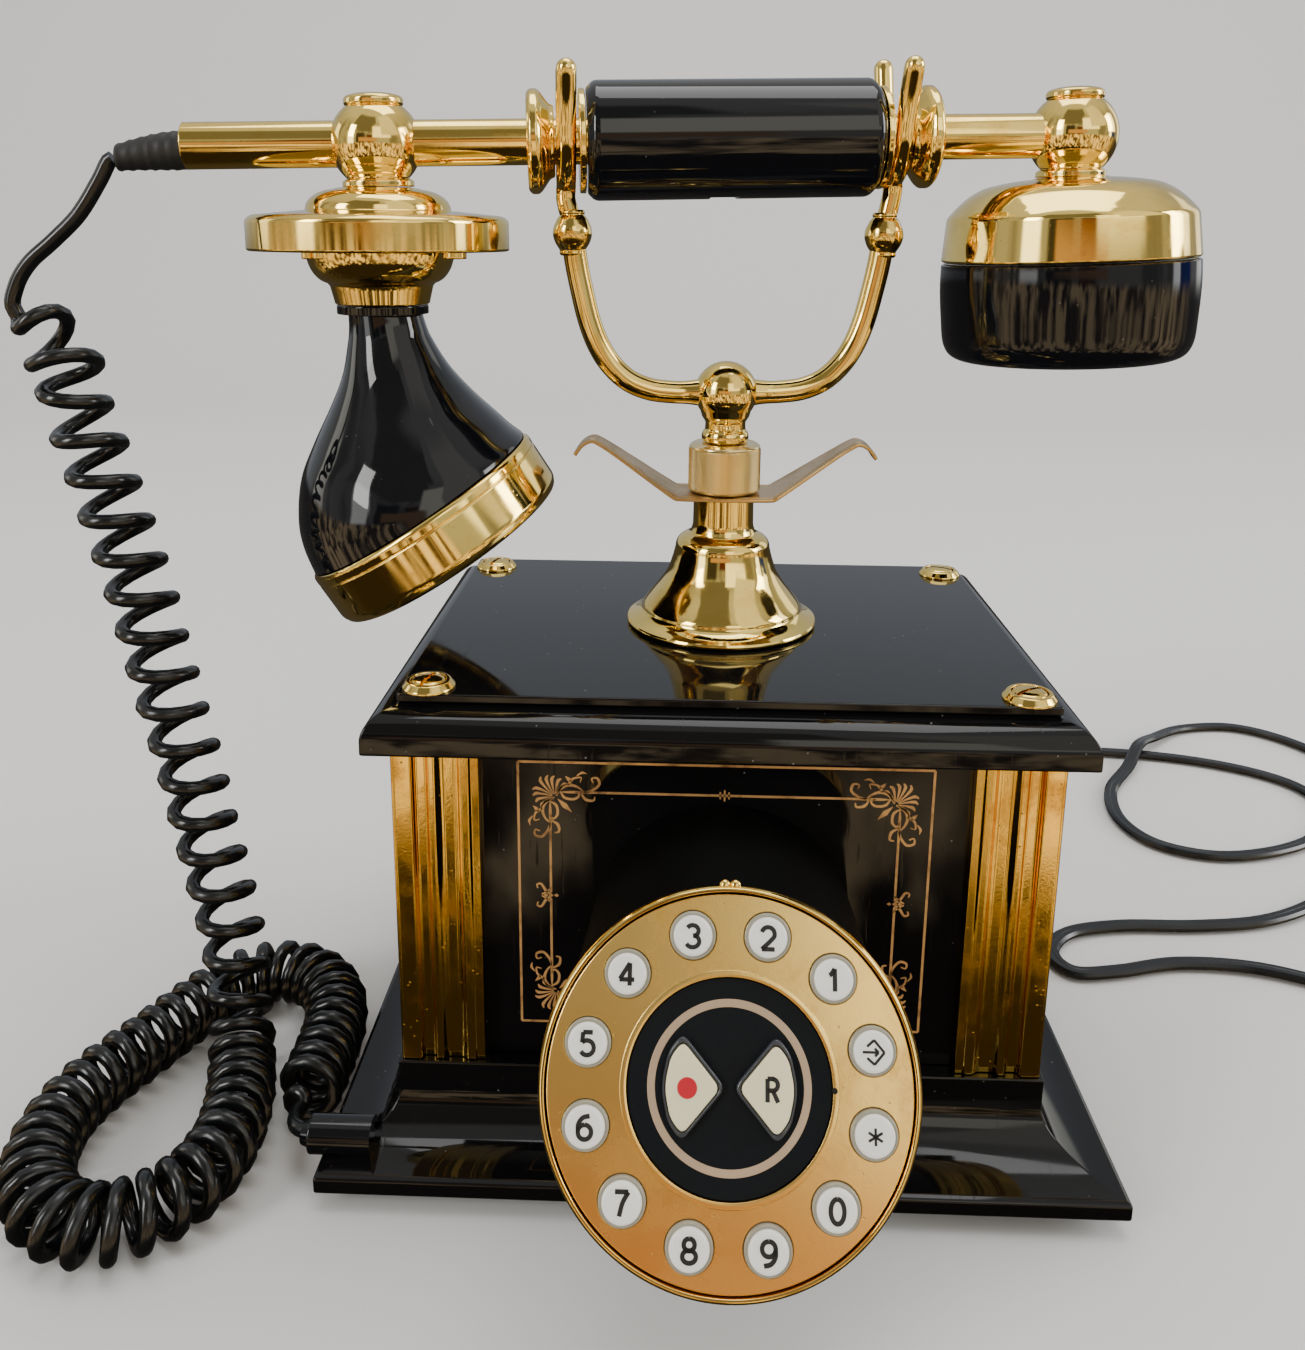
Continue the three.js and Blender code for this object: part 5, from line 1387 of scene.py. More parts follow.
@dataclass
class Base:
    """The lacquered box with its brass corners."""

    body_width: float = 153.3
    body_depth: float = 116.4
    foot_height: float = 4.5
    plinth_top: float = 27.9
    plinth_spread: float = 17.6
    case_top: float = 109.1
    cornice_top: float = 119.2
    plate_top: float = 121.3
    plate_width: float = 150.0
    plate_depth: float = 113.1
    relief: float = 3.5
    gap: float = 0.3
    screw_spread: tuple[float, float] = (136.8, 99.0)
    screw_shift: float = -2.3
    gilt_margin: float = 8.7
    line_width: float = 0.55
    flutes: tuple[Corner, ...] = (
        (4.8, 0.0, 0.35), (5.4, 1.6, 0.5), (8.0, 1.6, 0.5), (8.6, 0.25, 0.35), (10.1, 0.25, 0.35),
        (11.4, 1.35, 1.0), (14.8, 1.35, 1.0), (16.1, 0.25, 0.35), (17.9, 0.25, 0.3), (18.4, 0.7, 0.2),
        (20.2, 0.7, 0.15))

    def column_outline(self) -> list[Vector]:
        """Returns the section of the column at +X, +Y."""
        x, y = self.body_width / 2, self.body_depth / 2
        reach = self.relief - self.gap
        far = self.flutes[-1][0]
        back = [(x - along, y - depth, ease) for along, depth, ease in reversed(self.flutes)]
        side = [(x - depth, y - along, ease) for along, depth, ease in self.flutes]
        inside = [(x - reach, y - far), (x - reach, y - reach), (x - far, y - reach)]
        return rounded([*back, (x, y, 0.9), *side, *inside], closed=True)

    def build(self, shop: Workshop, places: Places, palette: Palette) -> None:
        """Builds and dresses the box."""
        here = places.floor
        half_w, half_d = self.body_width / 2, self.body_depth / 2
        spread, low = self.plinth_spread, self.foot_height
        cove = arc((spread, 19.9), (spread - 0.8, 10.6), 266, 180, 16)
        plinth = rounded([(-5, low), (spread, low, 0.7), (spread, low + 4, 0.5), (spread - 1.1, 9.1), *cove,
                          (0.8, self.plinth_top - self.gap, 0.4), (-5, self.plinth_top - self.gap)],
                         closed=True)
        shop.shape("plinth", frame_ring(half_w, half_d, plinth), here, palette.lacquer, "base", "lacquer",
                   ["plinth"])
        curve = arc((0, self.case_top + 3), (7.05, 6.5), 0, 90, 16)
        cornice = rounded([(-8, self.case_top), (7.05, self.case_top, 0.5), *curve[1:],
                           (-0.4, self.cornice_top - self.gap, 0.2), (-8, self.cornice_top - self.gap)],
                          closed=True)
        shop.shape("cornice", frame_ring(self.plate_width / 2, self.plate_depth / 2, cornice), here,
                   palette.lacquer, "base", "lacquer", ["cornice"])
        plate = slab(self.plate_width / 2, self.plate_depth / 2, self.cornice_top, self.plate_top, 0.45,
                     0.9)
        shop.shape("top_plate", plate, here, palette.lacquer, "base", "lacquer", ["top_plate"])
        outline = self.column_outline()
        column = lofted([[Vector((p.x, p.y, z)) for p in outline]
                         for z in (self.plinth_top, self.case_top - self.gap)])
        foot = revolved(placed_profile(8.0, 0.0, self.foot_height - self.gap, 0.8), 48)
        for side, sx in (("left", -1), ("right", 1)):
            for end, sy in (("front", -1), ("back", 1)):
                mirror = Matrix.Diagonal((sx, sy, 1, 1))
                shop.shape(f"column_{end}_{side}", column, here @ mirror, palette.column_brass, "base",
                           "polished_brass", [f"column_{end}_{side}"])
                place = here @ Matrix.Translation((sx * (half_w + spread - 16), sy * (half_d + spread - 16),
                                                   0))
                shop.shape(f"foot_{end}_{side}", foot, place, palette.rubber, "base", "rubber",
                           [f"foot_{end}_{side}"])
        self._fittings(shop, here, palette)
        self._gild(shop, here, palette)

    def _fittings(self, shop: Workshop, here: Matrix, palette: Palette) -> None:
        """Adds the lid screws, the jack and the grommet."""
        pattern = pattern_object("screw", Screw().shape())
        screws = corner_copies(palette.brass).grow(
            {"Object": pattern, "Width": self.screw_spread[0], "Depth": self.screw_spread[1], "Seed": SEED},
            here @ Matrix.Translation((0, self.screw_shift, self.plate_top)))
        shop.piece("lid_screws", screws, palette.brass, "base", "polished_brass")
        jack = revolved(rounded([(0, -12), (4.5, -12), (4.5, 3, 0.7), (3.3, 3, 0.2), (2.5, 5.2, 0.3),
                                 (0, 5.2)]), 48)
        edge = self.body_width / 2 + self.plinth_spread
        place = here @ Matrix.Translation((-edge, -66, 12.5)) @ Matrix.Rotation(-math.pi / 2, 4, "Y")
        shop.shape("handset_jack", jack, place, palette.gloss_black, "base", "black_plastic",
                   ["handset_jack"])
        grommet = revolved(rounded([(0, 0), (4, 0), (4, 14, 0.8), (3.5, 15, 0.3), (2.6, 22, 0.5), (0, 22)]),
                           48)
        place = (here @ Matrix.Translation((48, self.body_depth / 2 + self.plinth_spread - 14, 14))
                 @ Matrix.Rotation(-math.pi / 2, 4, "X"))
        shop.shape("line_grommet", grommet, place, palette.rubber, "base", "rubber", ["line_grommet"])

    def _gild(self, shop: Workshop, here: Matrix, palette: Palette) -> None:
        """Draws the gilt lines and ornaments on the four panels."""
        half_w = self.body_width / 2 - self.relief
        half_d = self.body_depth / 2 - self.relief
        middle_z = 70.6
        turns = {"front": (0, half_d, half_w), "right": (90, half_w, half_d), "back": (180, half_d, half_w),
                 "left": (270, half_w, half_d)}
        for name, (degrees, away, half_panel) in turns.items():
            across = half_panel + self.relief - self.flutes[-1][0] - self.gilt_margin
            up = 34.0
            drawing = self._panel(across, up)
            place = (here @ Matrix.Rotation(math.radians(degrees), 4, "Z")
                     @ Matrix.Translation((0, -away, middle_z)) @ Matrix.Rotation(math.pi / 2, 4, "X"))
            shop.shape(f"gilding_{name}", drawing, place, palette.gilding, "base", "lacquer")

    def _panel(self, across: float, up: float) -> Shape:
        """Returns one panel's gilding, from its middle.

        Args:
            across: half the outer line's width.
            up: half its height.
        """
        wide = self.line_width
        drawing = Shape()
        box = [(-across, -up), (across, -up), (across, up), (-across, up)]
        for a, b in zip(box, box[1:] + box[:1]):
            drawing.join(GiltPen().stroke([a, b], (wide, wide)).shape)
        inset = 7.4
        reach = 18.6
        for sign in (1, -1):
            for start, end in (((-across + reach, up - inset), (-3.6, up - inset)),
                               ((3.6, up - inset), (across - reach, up - inset))):
                drawing.join(GiltPen().stroke([(start[0], sign * start[1]), (end[0], sign * end[1])],
                                              (wide, wide)).shape)
                side = across - inset
                drawing.join(GiltPen().stroke([(sign * side, math.copysign(up - reach, start[0])),
                                               (sign * side, math.copysign(7.4, start[0]))],
                                              (wide, wide)).shape)
            drawing.join(GiltPen().bars().moved(Matrix.Translation((0, sign * (up - inset), 0))))
            drawing.join(GiltPen().scroll().moved(Matrix.Translation((sign * (across - inset), 0, 0))
                                                  @ Matrix.Diagonal((sign, 1, 1, 1))))
        for sx in (1, -1):
            for sy in (1, -1):
                place = Matrix.Translation((sx * (across - 2.2), sy * (up - 2.2),
                                            0)) @ Matrix.Diagonal((-sx, -sy, 1, 1))
                drawing.join(GiltPen().corner().moved(place))
        return drawing


# ----------------------------------------------------------------------------------------------
# Stem and cradle
# ----------------------------------------------------------------------------------------------


@dataclass
class Stem:
    """The bell, the winged strip and the knurled collar."""

    foot: float = 121.6
    strip_low: float = 156.1
    collar_low: float = 157.4
    bell_sweep: tuple[Corner, ...] = (
        (25.1, 1.3), (23.2, 2.2), (21.4, 3.6), (20.9, 5.1), (18.6, 8.1), (16.4, 10.9), (14.6, 13.7),
        (13.5, 16.8), (12.8, 19.2))
    wings: tuple[Corner, ...] = (
        (0, 0, 10), (6, 0, 9.9), (11.6, 0, 9.4), (12.8, 0.15, 9.3), (14.0, 0.8, 9.2), (18.2, 3.6, 8.2),
        (22.6, 6.6, 7.2), (27, 9.6, 6.1), (30.8, 12.1, 5.3), (33.0, 13.4, 5.0), (34.6, 14.0, 4.8),
        (36.4, 13.2, 4.6), (37.7, 11.8, 4.4), (38.6, 10.4, 4.2))

    def build(self, shop: Workshop, places: Places, palette: Palette) -> None:
        """Builds and dresses the stem's fixed pieces."""
        here = places.floor
        sweep = [(p.x, p.y) for p in spline([(r, z, 0) for r, z in self.bell_sweep], 5)]
        shoulder = arc((9.0, 20.6), (3.5, 3.4), 0, 76, 12)
        profile = rounded([(4.2, 0), (25.0, 0, 0.3), (25.4, 0.7, 0.3), *sweep, *shoulder, (8.7, 24.4, 0.9),
                           (8.0, 26.4, 0.9), (7.9, 34.2, 0.2), (4.2, 34.2)])
        shop.shape("bell", revolved(profile, 128), here @ Matrix.Translation((0, 0, self.foot)),
                   palette.brass,
                   "base", "polished_brass", ["bell"])
        shop.shape("wing_strip", self.strip(), here @ Matrix.Translation((0, 0, self.strip_low)),
                   palette.strip_brass, "base", "worn_brass", ["wing_strip"])
        collar = revolved(rounded([(4.2, 0), (8.9, 0, 0.4), (9.15, 0.5, 0.2), (9.15, 11.4, 0.2),
                                   (9.3, 11.7, 0.2),
                                   (9.1, 12.1, 0.3), (8.0, 12.8, 0.4), (4.2, 12.8)]), 96)
        at_collar = here @ Matrix.Translation((0, 0, self.collar_low))
        shop.shape("knurled_collar", collar, at_collar, palette.knurl_brass, "base", "polished_brass",
                   ["knurled_collar"])
        knurl = knurling(palette.knurl_brass).grow(
            {"Radius": 9.2, "Height": 10.2, "Columns": 76, "Rows": 28, "Relief": 0.25},
            at_collar @ Matrix.Translation((0, 0, 5.9)))
        shop.piece("collar_knurling", knurl, palette.knurl_brass, "base", "polished_brass")

    def strip(self) -> Shape:
        """Returns the leaf-shaped strip, with a line engraved along its edges."""
        half = spline(self.wings, 6)
        line = [Vector((-p.x, p.y, p.z)) for p in reversed(half[1:])] + half
        outlines = []
        for i, station in enumerate(line):
            ahead = line[min(i + 1, len(line) - 1)] - line[max(i - 1, 0)]
            along = Vector((ahead.x, 0, ahead.y)).normalized()
            up = Vector((-along.z, 0, along.x))
            wide = station.z
            centre = Vector((station.x, 0, station.y))
            across = rounded([(-wide, 0.0, 0.2), (wide, 0.0, 0.2), (wide, 0.85, 0.3),
                              (wide - 1.3, 1.0, 0.1),
                              (wide - 1.6, 0.72), (wide - 1.9, 1.0, 0.1), (1.9 - wide, 1.0, 0.1),
                              (1.6 - wide, 0.72), (1.3 - wide, 1.0, 0.1), (-wide, 0.85, 0.3)],
                             steps=2, closed=True)
            outlines.append([centre + Vector((0, p.x, 0)) + up * p.y for p in across])
        return lofted(outlines)


@dataclass
class Cradle:
    """The hub, two arms with beads and the forks, on the sliding rod."""

    hub_rise: float = 13.0
    arm_radius: float = 2.95
    arm_span: float = 39.5
    arm_rise: float = 40.0
    prong_radius: float = 2.45
    prong_span: float = 41.0
    prong_spread: float = 13.8
    handset_rise: float = 62.8
    seat: float = 8.25
    prong_rises: tuple[float, float] = (17.6, 20.3)
    arm_line: tuple[Corner, ...] = (
        (0, 0, 0), (8, 0, 0), (14, 0, 0.1), (20, 0, 0.9), (25.4, 0, 3.2), (29.8, 0, 7.2), (33, 0, 12.2),
        (35.4, 0, 18.5), (37.2, 0, 26), (38.6, 0, 33), (39.5, 0, 40))

    def _arm_size(self, share: float) -> float:
        """Returns the arm's radius, which flares into the hub."""
        return self.arm_radius + 2.2 * max(0.0, 1 - share / 0.17) ** 2

    def arm(self, side: int, lean: float) -> Shape:
        """Returns one arm with its bead and fork; side is 1 for the right and -1 for the left."""
        bead = revolved(rounded([(0, -5.6), (2.9, -5.6, 0.3), (3.3, -5.0, 0.2), (3.2, -4.2, 0.3),
                                 (4.3, -2.6, 0.8),
                                 (4.95, -0.6, 1.0), (4.8, 1.3, 1.0), (3.7, 3.6, 0.8), (2.9, 4.4, 0.3),
                                 (3.2, 4.9, 0.2), (2.9, 5.6, 0.3), (0, 5.6)]), 64)
        shape = tube(spline(self.arm_line, 8), self._arm_size, 32)
        shape.join(bead.moved(Matrix.Translation((self.arm_span, 0, self.arm_rise))))
        axis = self.handset_rise + side * self.prong_span * math.tan(lean)
        x = self.prong_span
        for back, rise in zip((-1, 1), self.prong_rises):
            top = axis + rise - self.prong_radius
            line = spline([(self.arm_span, 0, self.arm_rise + 2), (x, 0, axis - 14),
                           (x, 0.2 * back, axis - 10.6),
                           (x, back * 4.6, axis - 7.7), (x, back * (self.seat + 0.2), axis - 1.5),
                           (x, back * 9.7, axis + 4), (x, back * 11.2, axis + 9),
                           (x, back * self.prong_spread, top)], 8)
            shape.join(tube(line, self.prong_radius, 32, round_ends=True))
        return shape if side > 0 else shape.moved(Matrix.Diagonal((-1, 1, 1, 1)))

    def build(self, shop: Workshop, places: Places, palette: Palette) -> None:
        """Builds and dresses the cradle."""
        core = revolved(rounded([(0, -86), (3.6, -86), (3.6, -12.8), (5.9, -12.7, 0.3), (6.2, -11.4, 0.8),
                                 (5.9, -10.2, 0.3), (5.3, -9.6, 0.3), (5.2, -7.6, 0.8), (5.9, -6.6, 0.5),
                                 (6.9, -4.9, 0.6)])[:-1]
                        + [Vector(p) for p in arc((0, 0), (8.1, 8.1), -36, 90, 24)], 96)
        pin = tube([Vector((0, -6.0, -8.8)), Vector((0, 6.0, -8.8))], 1.3, 24, round_ends=True)
        shape = Shape().join(core, pin, self.arm(-1, places.lean), self.arm(1, places.lean))
        shop.shape("cradle", shape, places.cradle, palette.brass, "cradle", "polished_brass", ["cradle"])


# ----------------------------------------------------------------------------------------------
# Handset
# ----------------------------------------------------------------------------------------------


@dataclass
class Handset:
    """The tube with its grip and flanges, the receiver and the bottle-shaped mouthpiece."""

    tube_radius: float = 5.5
    tube_end: float = 131.9
    ball_offset: float = 86.85
    grip_half: float = 36.0
    grip_radius: float = 14.25
    flange_radius: float = 12.4
    ear_lean: float = 1.2
    mouth_lean: float = -1.3
    mouth_tilt: float = 32.4
    mouth_place: tuple[float, float] = (7.4, -89.1)
    bottle_stations: tuple[Corner, ...] = (
        (0.6, -40.8, 9.1, 0), (1.0, -43.8, 9.5, 1), (1.4, -47, 10.3, 2), (2.6, -54.5, 13.2, 4.5),
        (3.7, -61.6, 17.6, 6), (4.4, -69.3, 23.2, 9.3), (4.5, -75.2, 27.1, 13.3), (4.9, -81, 29.9, 20.5),
        (5.7, -84.8, 31.2, 26))

    def build(self, shop: Workshop, places: Places, palette: Palette) -> None:
        """Builds and dresses the handset."""
        along = places.handset @ Matrix.Rotation(math.pi / 2, 4, "Y")
        self._bar(shop, places, along, palette)
        self._ear(shop, places.at_ball(self.ball_offset, self.ear_lean), palette)
        self._mouth(shop, places.at_ball(-self.ball_offset, self.mouth_lean), palette)

    def _bar(self, shop: Workshop, places: Places, along: Matrix, palette: Palette) -> None:
        """Builds the tube, the grip, the flanges, the balls and the boot."""
        radius, end = self.tube_radius, self.tube_end
        tube_profile = rounded([(radius - 1.2, -end), (radius, -end, 0.3), (radius, 93, 0.3),
                                (radius - 1.2, 93)],
                               closed=True)
        shop.shape("handset_tube", revolved(tube_profile, 64, closed=True), along, palette.brass, "handset",
                   "polished_brass", ["handset_tube"])
        shop.shape("grip", self.grip(), places.handset, palette.gloss_black, "handset", "gloss_black",
                   ["grip"])
        inner = revolved(rounded([(5.6, 36.3), (12.4, 36.3, 0.3), (12.4, 37.9, 0.5), (5.6, 37.9)],
                                 closed=True),
                         96, closed=True)
        outer = revolved(rounded([(5.6, 43.8), (8.4, 43.8, 0.4), (8.9, 45.0, 0.5), (11.7, 47.0, 0.5),
                                  (12.4, 47.9, 0.3), (12.4, 49.5, 0.4), (11.5, 50.4, 0.4), (7.2, 50.2, 0.3),
                                  (6.6, 49.6), (5.6, 49.6)], closed=True), 96, closed=True)
        for side, sign in (("left", -1), ("right", 1)):
            place = along @ Matrix.Diagonal((1, 1, sign, 1))
            shop.shape(f"inner_flange_{side}", inner, place, palette.brass, "handset", "polished_brass",
                       [f"inner_flange_{side}"])
            shop.shape(f"outer_flange_{side}", outer, place, palette.brass, "handset", "polished_brass",
                       [f"outer_flange_{side}"])
        ball = revolved(rounded([(0, 11.7), (4.6, 11.5, 0.5), (6.6, 10.9, 0.5), (7.1, 10.2, 0.3),
                                 (7.1, 9.1, 0.3),
                                 (6.7, 8.7)]) + [Vector(p) for p in arc((0, 0), (11, 11), 50, -46, 24)]
                        + rounded([(7.6, -8.2), (8.6, -8.8, 0.3), (8.6, -10.2, 0.3), (0, -10.3)]), 96)
        for name, sign in (("mouth_ball", -1), ("ear_ball", 1)):
            place = places.handset @ Matrix.Translation((sign * self.ball_offset, 0, 0))
            shop.shape(name, ball, place, palette.brass, "handset", "polished_brass", [name])
        start = -(end + 0.3)
        stations = spline([(0.8, -1, 4.5), (0, -1, 4.5), (-5, -1.2, 4.25), (-11, -1.8, 3.6),
                           (-15.6, -2.5, 3.0)], 8)
        outlines = []
        for i, (x, z, size) in enumerate(stations):
            ridge = 0.25 * max(0.0, math.sin(x * 2.4)) if x < -1.5 else 0.0
            outlines.append([Vector((start + x, (size + ridge) * math.cos(TURN * k / 48),
                                     z + (size + ridge) * math.sin(TURN * k / 48))) for k in range(48)])
        shop.shape("cord_boot", lofted(outlines), places.handset, palette.rubber, "handset", "rubber",
                   ["cord_boot"])

    def grip(self) -> Shape:
        """Returns the grip, with its small notch underneath."""
        profile = rounded([(0, -self.grip_half), (self.flange_radius, -self.grip_half, 0.5),
                           (self.grip_radius, -34.2, 1.5), (self.grip_radius, -5.8),
                           (self.grip_radius, -5.7),
                           (self.grip_radius, 1.1), (self.grip_radius, 1.2), (self.grip_radius, 34.2, 1.5),
                           (self.flange_radius, self.grip_half, 0.5), (0, self.grip_half)])
        outlines = []
        for radius, x in (p[:2] for p in profile[1:-1]):
            is_notched = -5.75 < x < 1.15
            outline = []
            for k in range(120):
                angle = TURN * k / 120
                near_bottom = abs(angle - 1.5 * math.pi) < math.radians(14)
                depth = 1.5 if is_notched and near_bottom else 0.0
                outline.append(Vector((x, (radius - depth) * math.cos(angle),
                                       (radius - depth) * math.sin(angle))))
            outlines.append(outline)
        return lofted(outlines)

    def _ear(self, shop: Workshop, here: Matrix, palette: Palette) -> None:
        """Builds the receiver."""
        dome = spline([(9.4, -10.4, 0), (14, -10.8, 0), (18.4, -11.5, 0), (21.6, -12.3, 0),
                       (24.8, -14.0, 0),
                       (27.4, -16.1, 0), (29.3, -18.0, 0)], 5)
        profile = (rounded([(0, -10.2), (9.0, -10.2, 0.3), (9.4, -10.4)]) + [Vector(p[:2]) for p in dome]
                   + rounded([(29.4, -18.1), (30.6, -19.5, 0.9), (31.8, -30.2, 0.5), (31.2, -30.6),
                              (0, -30.6)]))
        shop.shape("receiver_cover", revolved(profile, 160), here, palette.brass, "handset",
                   "polished_brass",
                   ["receiver_cover"])
        side = spline([(31.8, -31.4, 0), (32.0, -36, 0), (31.9, -41, 0), (31.6, -46, 0), (31.3, -50.2, 0),
                       (30.7, -52.6, 0), (29.5, -54.6, 0), (27.4, -55.8, 0), (24.8, -56.1, 0),
                       (21.6, -55.9, 0),
                       (18.4, -54.9, 0), (13, -52.4, 0), (8.6, -50.4, 0)], 4)
        profile = (rounded([(0, -30.9), (31.3, -30.9, 0.3), (31.8, -31.3)]) + [Vector(p[:2]) for p in side]
                   + rounded([(8.2, -50.4), (7.4, -49.8, 0.2), (0, -49.6)]))
        shop.shape("receiver_cup", revolved(profile, 160), here, palette.gloss_black, "handset",
                   "gloss_black",
                   ["receiver_cup"])
        self._shade_holes(shop, "ear_holes", here @ Matrix.Translation((0, 0, -49.63)), 6.4, 2.2, 9, palette)

    def _mouth(self, shop: Workshop, here: Matrix, palette: Palette) -> None:
        """Builds the disc with its bowl, the bottle, the ring and the grille."""
        disc = revolved(rounded([(0, -10.4), (9.9, -10.4, 0.4), *arc((9.9, -15.6), (7.6, 4.9), 84, 4, 12),
                                 (17.6, -15.7, 0.3), (30.0, -16.9, 0.6), (31.6, -17.9, 0.9),
                                 (31.6, -25.0, 0.35),
                                 (31.1, -25.4, 0.2), (30.4, -25.2, 0.1), (30.2, -24.7, 0.1),
                                 (18.0, -24.7, 0.2),
                                 *arc((12.2, -25.0), (5.8, 8.2), 0, -80, 14), (12.6, -33.7, 0.2),
                                 (12.4, -34.4, 0.3), (11.5, -38.2, 0.3), (0, -38.3)]), 144)
        seat = revolved(placed_profile(11.2, -40.6, -38.4, 0.25), 96)
        shop.shape("mouthpiece_seat", seat, here, palette.gloss_black, "handset", "gloss_black")
        shop.shape("mouth_disc", disc, here, palette.brass, "handset", "polished_brass", ["mouth_disc"])
        tilt = math.radians(self.mouth_tilt)
        x, z = self.mouth_place
        stations = [*self.bottle_stations, (x - 0.2, z + 0.3, 31.9, self.mouth_tilt)]
        smooth_line = self._between(stations, 6)
        outlines = []
        for sx, sz, size, lean in smooth_line:
            a = math.radians(lean)
            outlines.append([Vector((sx + size * math.cos(t) * math.cos(a), size * math.sin(t),
                                     sz + size * math.cos(t) * math.sin(a)))
                             for t in (TURN * k / 128 for k in range(128))])
        shop.shape("mouthpiece", lofted(outlines), here, palette.gloss_black, "handset", "gloss_black",
                   ["mouthpiece"])
        at_mouth = here @ Matrix.Translation((x, 0, z)) @ Matrix.Rotation(-tilt, 4, "Y")
        ring = revolved(rounded([(30.2, 0), (32.2, 0, 0.4), (32.8, -0.8, 0.4), (32.8, -2.6, 0.2),
                                 (32.5, -2.9, 0.1),
                                 (32.8, -3.2, 0.2), (32.8, -12.6, 0.8), (31.8, -14.6, 0.8),
                                 (30.2, -15.3, 0.6),
                                 (27.2, -15.3, 0.4), (27.0, -13.6, 0.3), (30.2, -12.8)], closed=True),
                        160, closed=True)
        shop.shape("mouthpiece_ring", ring, at_mouth, palette.brass, "handset", "polished_brass",
                   ["mouthpiece_ring"])
        grille = revolved(rounded([(0, -11.9), (24, -11.9, 0.5), (25.5, -12.5, 0.5), (29.8, -12.5),
                                   (29.8, -9),
                                   (0, -9)]), 96)
        shop.shape("mouth_grille", grille, at_mouth, palette.gloss_black, "handset", "black_plastic",
                   ["mic_capsule"])
        self._shade_holes(shop, "mouth_holes", at_mouth @ Matrix.Translation((0, 0, -11.93)), 21.5, 3.4, 15,
                    palette)
        heads = Shape()
        for degrees, size in ((237, 1.4), (244, 1.2), (321, 2.7)):
            a = math.radians(degrees)
            head = revolved(placed_profile(size, -2.4, 0.0, 0.4), 32)
            heads.join(head.moved(Matrix.Translation((25 * math.cos(a), 25 * math.sin(a), -24.5))))
        shop.shape("disc_screws", heads, here, palette.brass, "handset", "polished_brass")

    @staticmethod
    def _between(stations: Sequence[Corner], steps: int) -> list[tuple[float, ...]]:
        """Returns stations of four numbers with smooth ones between them."""
        first = spline([s[:3] for s in stations], steps)
        second = spline([(s[3], 0.0, 0.0) for s in stations], steps)
        return [(a.x, a.y, a.z, b.x) for a, b in zip(first, second)]

    @staticmethod
    def _shade_holes(shop: Workshop, name: str, place: Matrix, radius: float, pitch: float, rows: int,
               palette: Palette) -> None:
        """Adds dark discs of painted shade where the sound holes are, facing down."""
        # each disc is painted shade standing in for the dark inside of a hole
        pattern = pattern_object(name,
                                 revolved([(0, -0.02), (0.32 * pitch, -0.02), (0.32 * pitch, 0.05),
                                           (0, 0.05)],
                                                24))
        mesh = perforation(palette.painted_hole_shade).grow(
            {"Object": pattern, "Radius": radius, "Pitch": pitch, "Rows": rows}, place)
        shop.piece(name, mesh, palette.painted_hole_shade, "handset", "black_plastic")


# ----------------------------------------------------------------------------------------------
# Dial
# ----------------------------------------------------------------------------------------------


@dataclass(frozen=True)
class Figure:
    """One printed figure, drawn in strokes about its middle."""

    name: str
    half_width: float = 1.25
    half_height: float = 2.05
    weight: float = 0.82

    def strokes(self) -> list[list[Corner]]:
        """Returns the figure's lines."""
        w, h = self.half_width, self.half_height
        oval = arc((0, 0), (w, h), 90, 450, 24)
        lines = {
            "0": [oval],
            "1": [[(-0.9, 0.85), (-0.5, 1.1), (0.15, h)], [(0.15, h), (0.15, -h)]],
            "2": [[*arc((0, 0.75), (w, 1.25), 165, -25, 12), (0.2, -0.75), (-w, -h)], [(-w, -h), (w, -h)]],
            "3": [arc((-0.1, 1.0), (1.15, 1.0), 150, -85, 10),
                  arc((-0.1, -0.95), (1.3, 1.1), 85, -155, 12)],
            "4": [[(0.5, -h), (0.5, h)], [(0.5, h), (-1.4, -0.85)], [(-1.5, -0.95), (1.4, -0.95)]],
            "5": [[(1.0, h), (-0.85, h)], [(-0.85, h), (-1.0, 0.2)],
                  [(-1.0, 0.2), *arc((-0.05, -0.7), (1.3, 1.3), 120, -150, 12)]],
            "6": [arc((0, -0.75), (w, 1.25), 90, 450, 18),
                  [(-w, -0.75), (-1.2, 0.6), (-0.4, 1.7), (0.9, h)]],
            "7": [[(-w, h), (w, h)], [(w, h), (0.2, 0.2), (-0.4, -h)]],
            "8": [arc((0, 1.0), (1.0, 1.0), 90, 450, 16), arc((0, -0.95), (w, 1.05), 90, 450, 16)],
            "9": [arc((0, 0.75), (w, 1.25), 90, 450, 18),
                  [(w, 0.75), (1.2, -0.6), (0.4, -1.7), (-0.9, -h)]],
            "R": [[(-0.9, -h), (-0.9, h)], [(-0.9, h), (0.1, h), *arc((0.1, 1.0), (0.95, 1.0), 80, -80, 8),
                                            (-0.9, 0)], [(0.1, 0), (1.1, -h)]],
            "star": [[(-1.5 * math.cos(a), -1.5 * math.sin(a)), (1.5 * math.cos(a), 1.5 * math.sin(a))]
                     for a in (math.pi / 2, math.pi / 6, -math.pi / 6)],
            "redial": [[(-w, 1.0), (0.1, h + 0.1)], [(0.1, h + 0.1), (2.0, 0)], [(2.0, 0), (0.1, -h - 0.1)],
                       [(0.1, -h - 0.1), (-w, -1.0)], [(-2.1, 0), (0.9, 0)], [(0.2, 0.7), (0.9, 0)],
                       [(0.2, -0.7), (0.9, 0)]],
        }
        return lines[self.name]

    def shape(self) -> Shape:
        """Returns the figure as a thin print."""
        weight = 0.45 if self.name in ("star", "redial") else self.weight
        pen = GiltPen()
        for line in self.strokes():
            pen.stroke(line, (weight, weight))
        return pen.shape


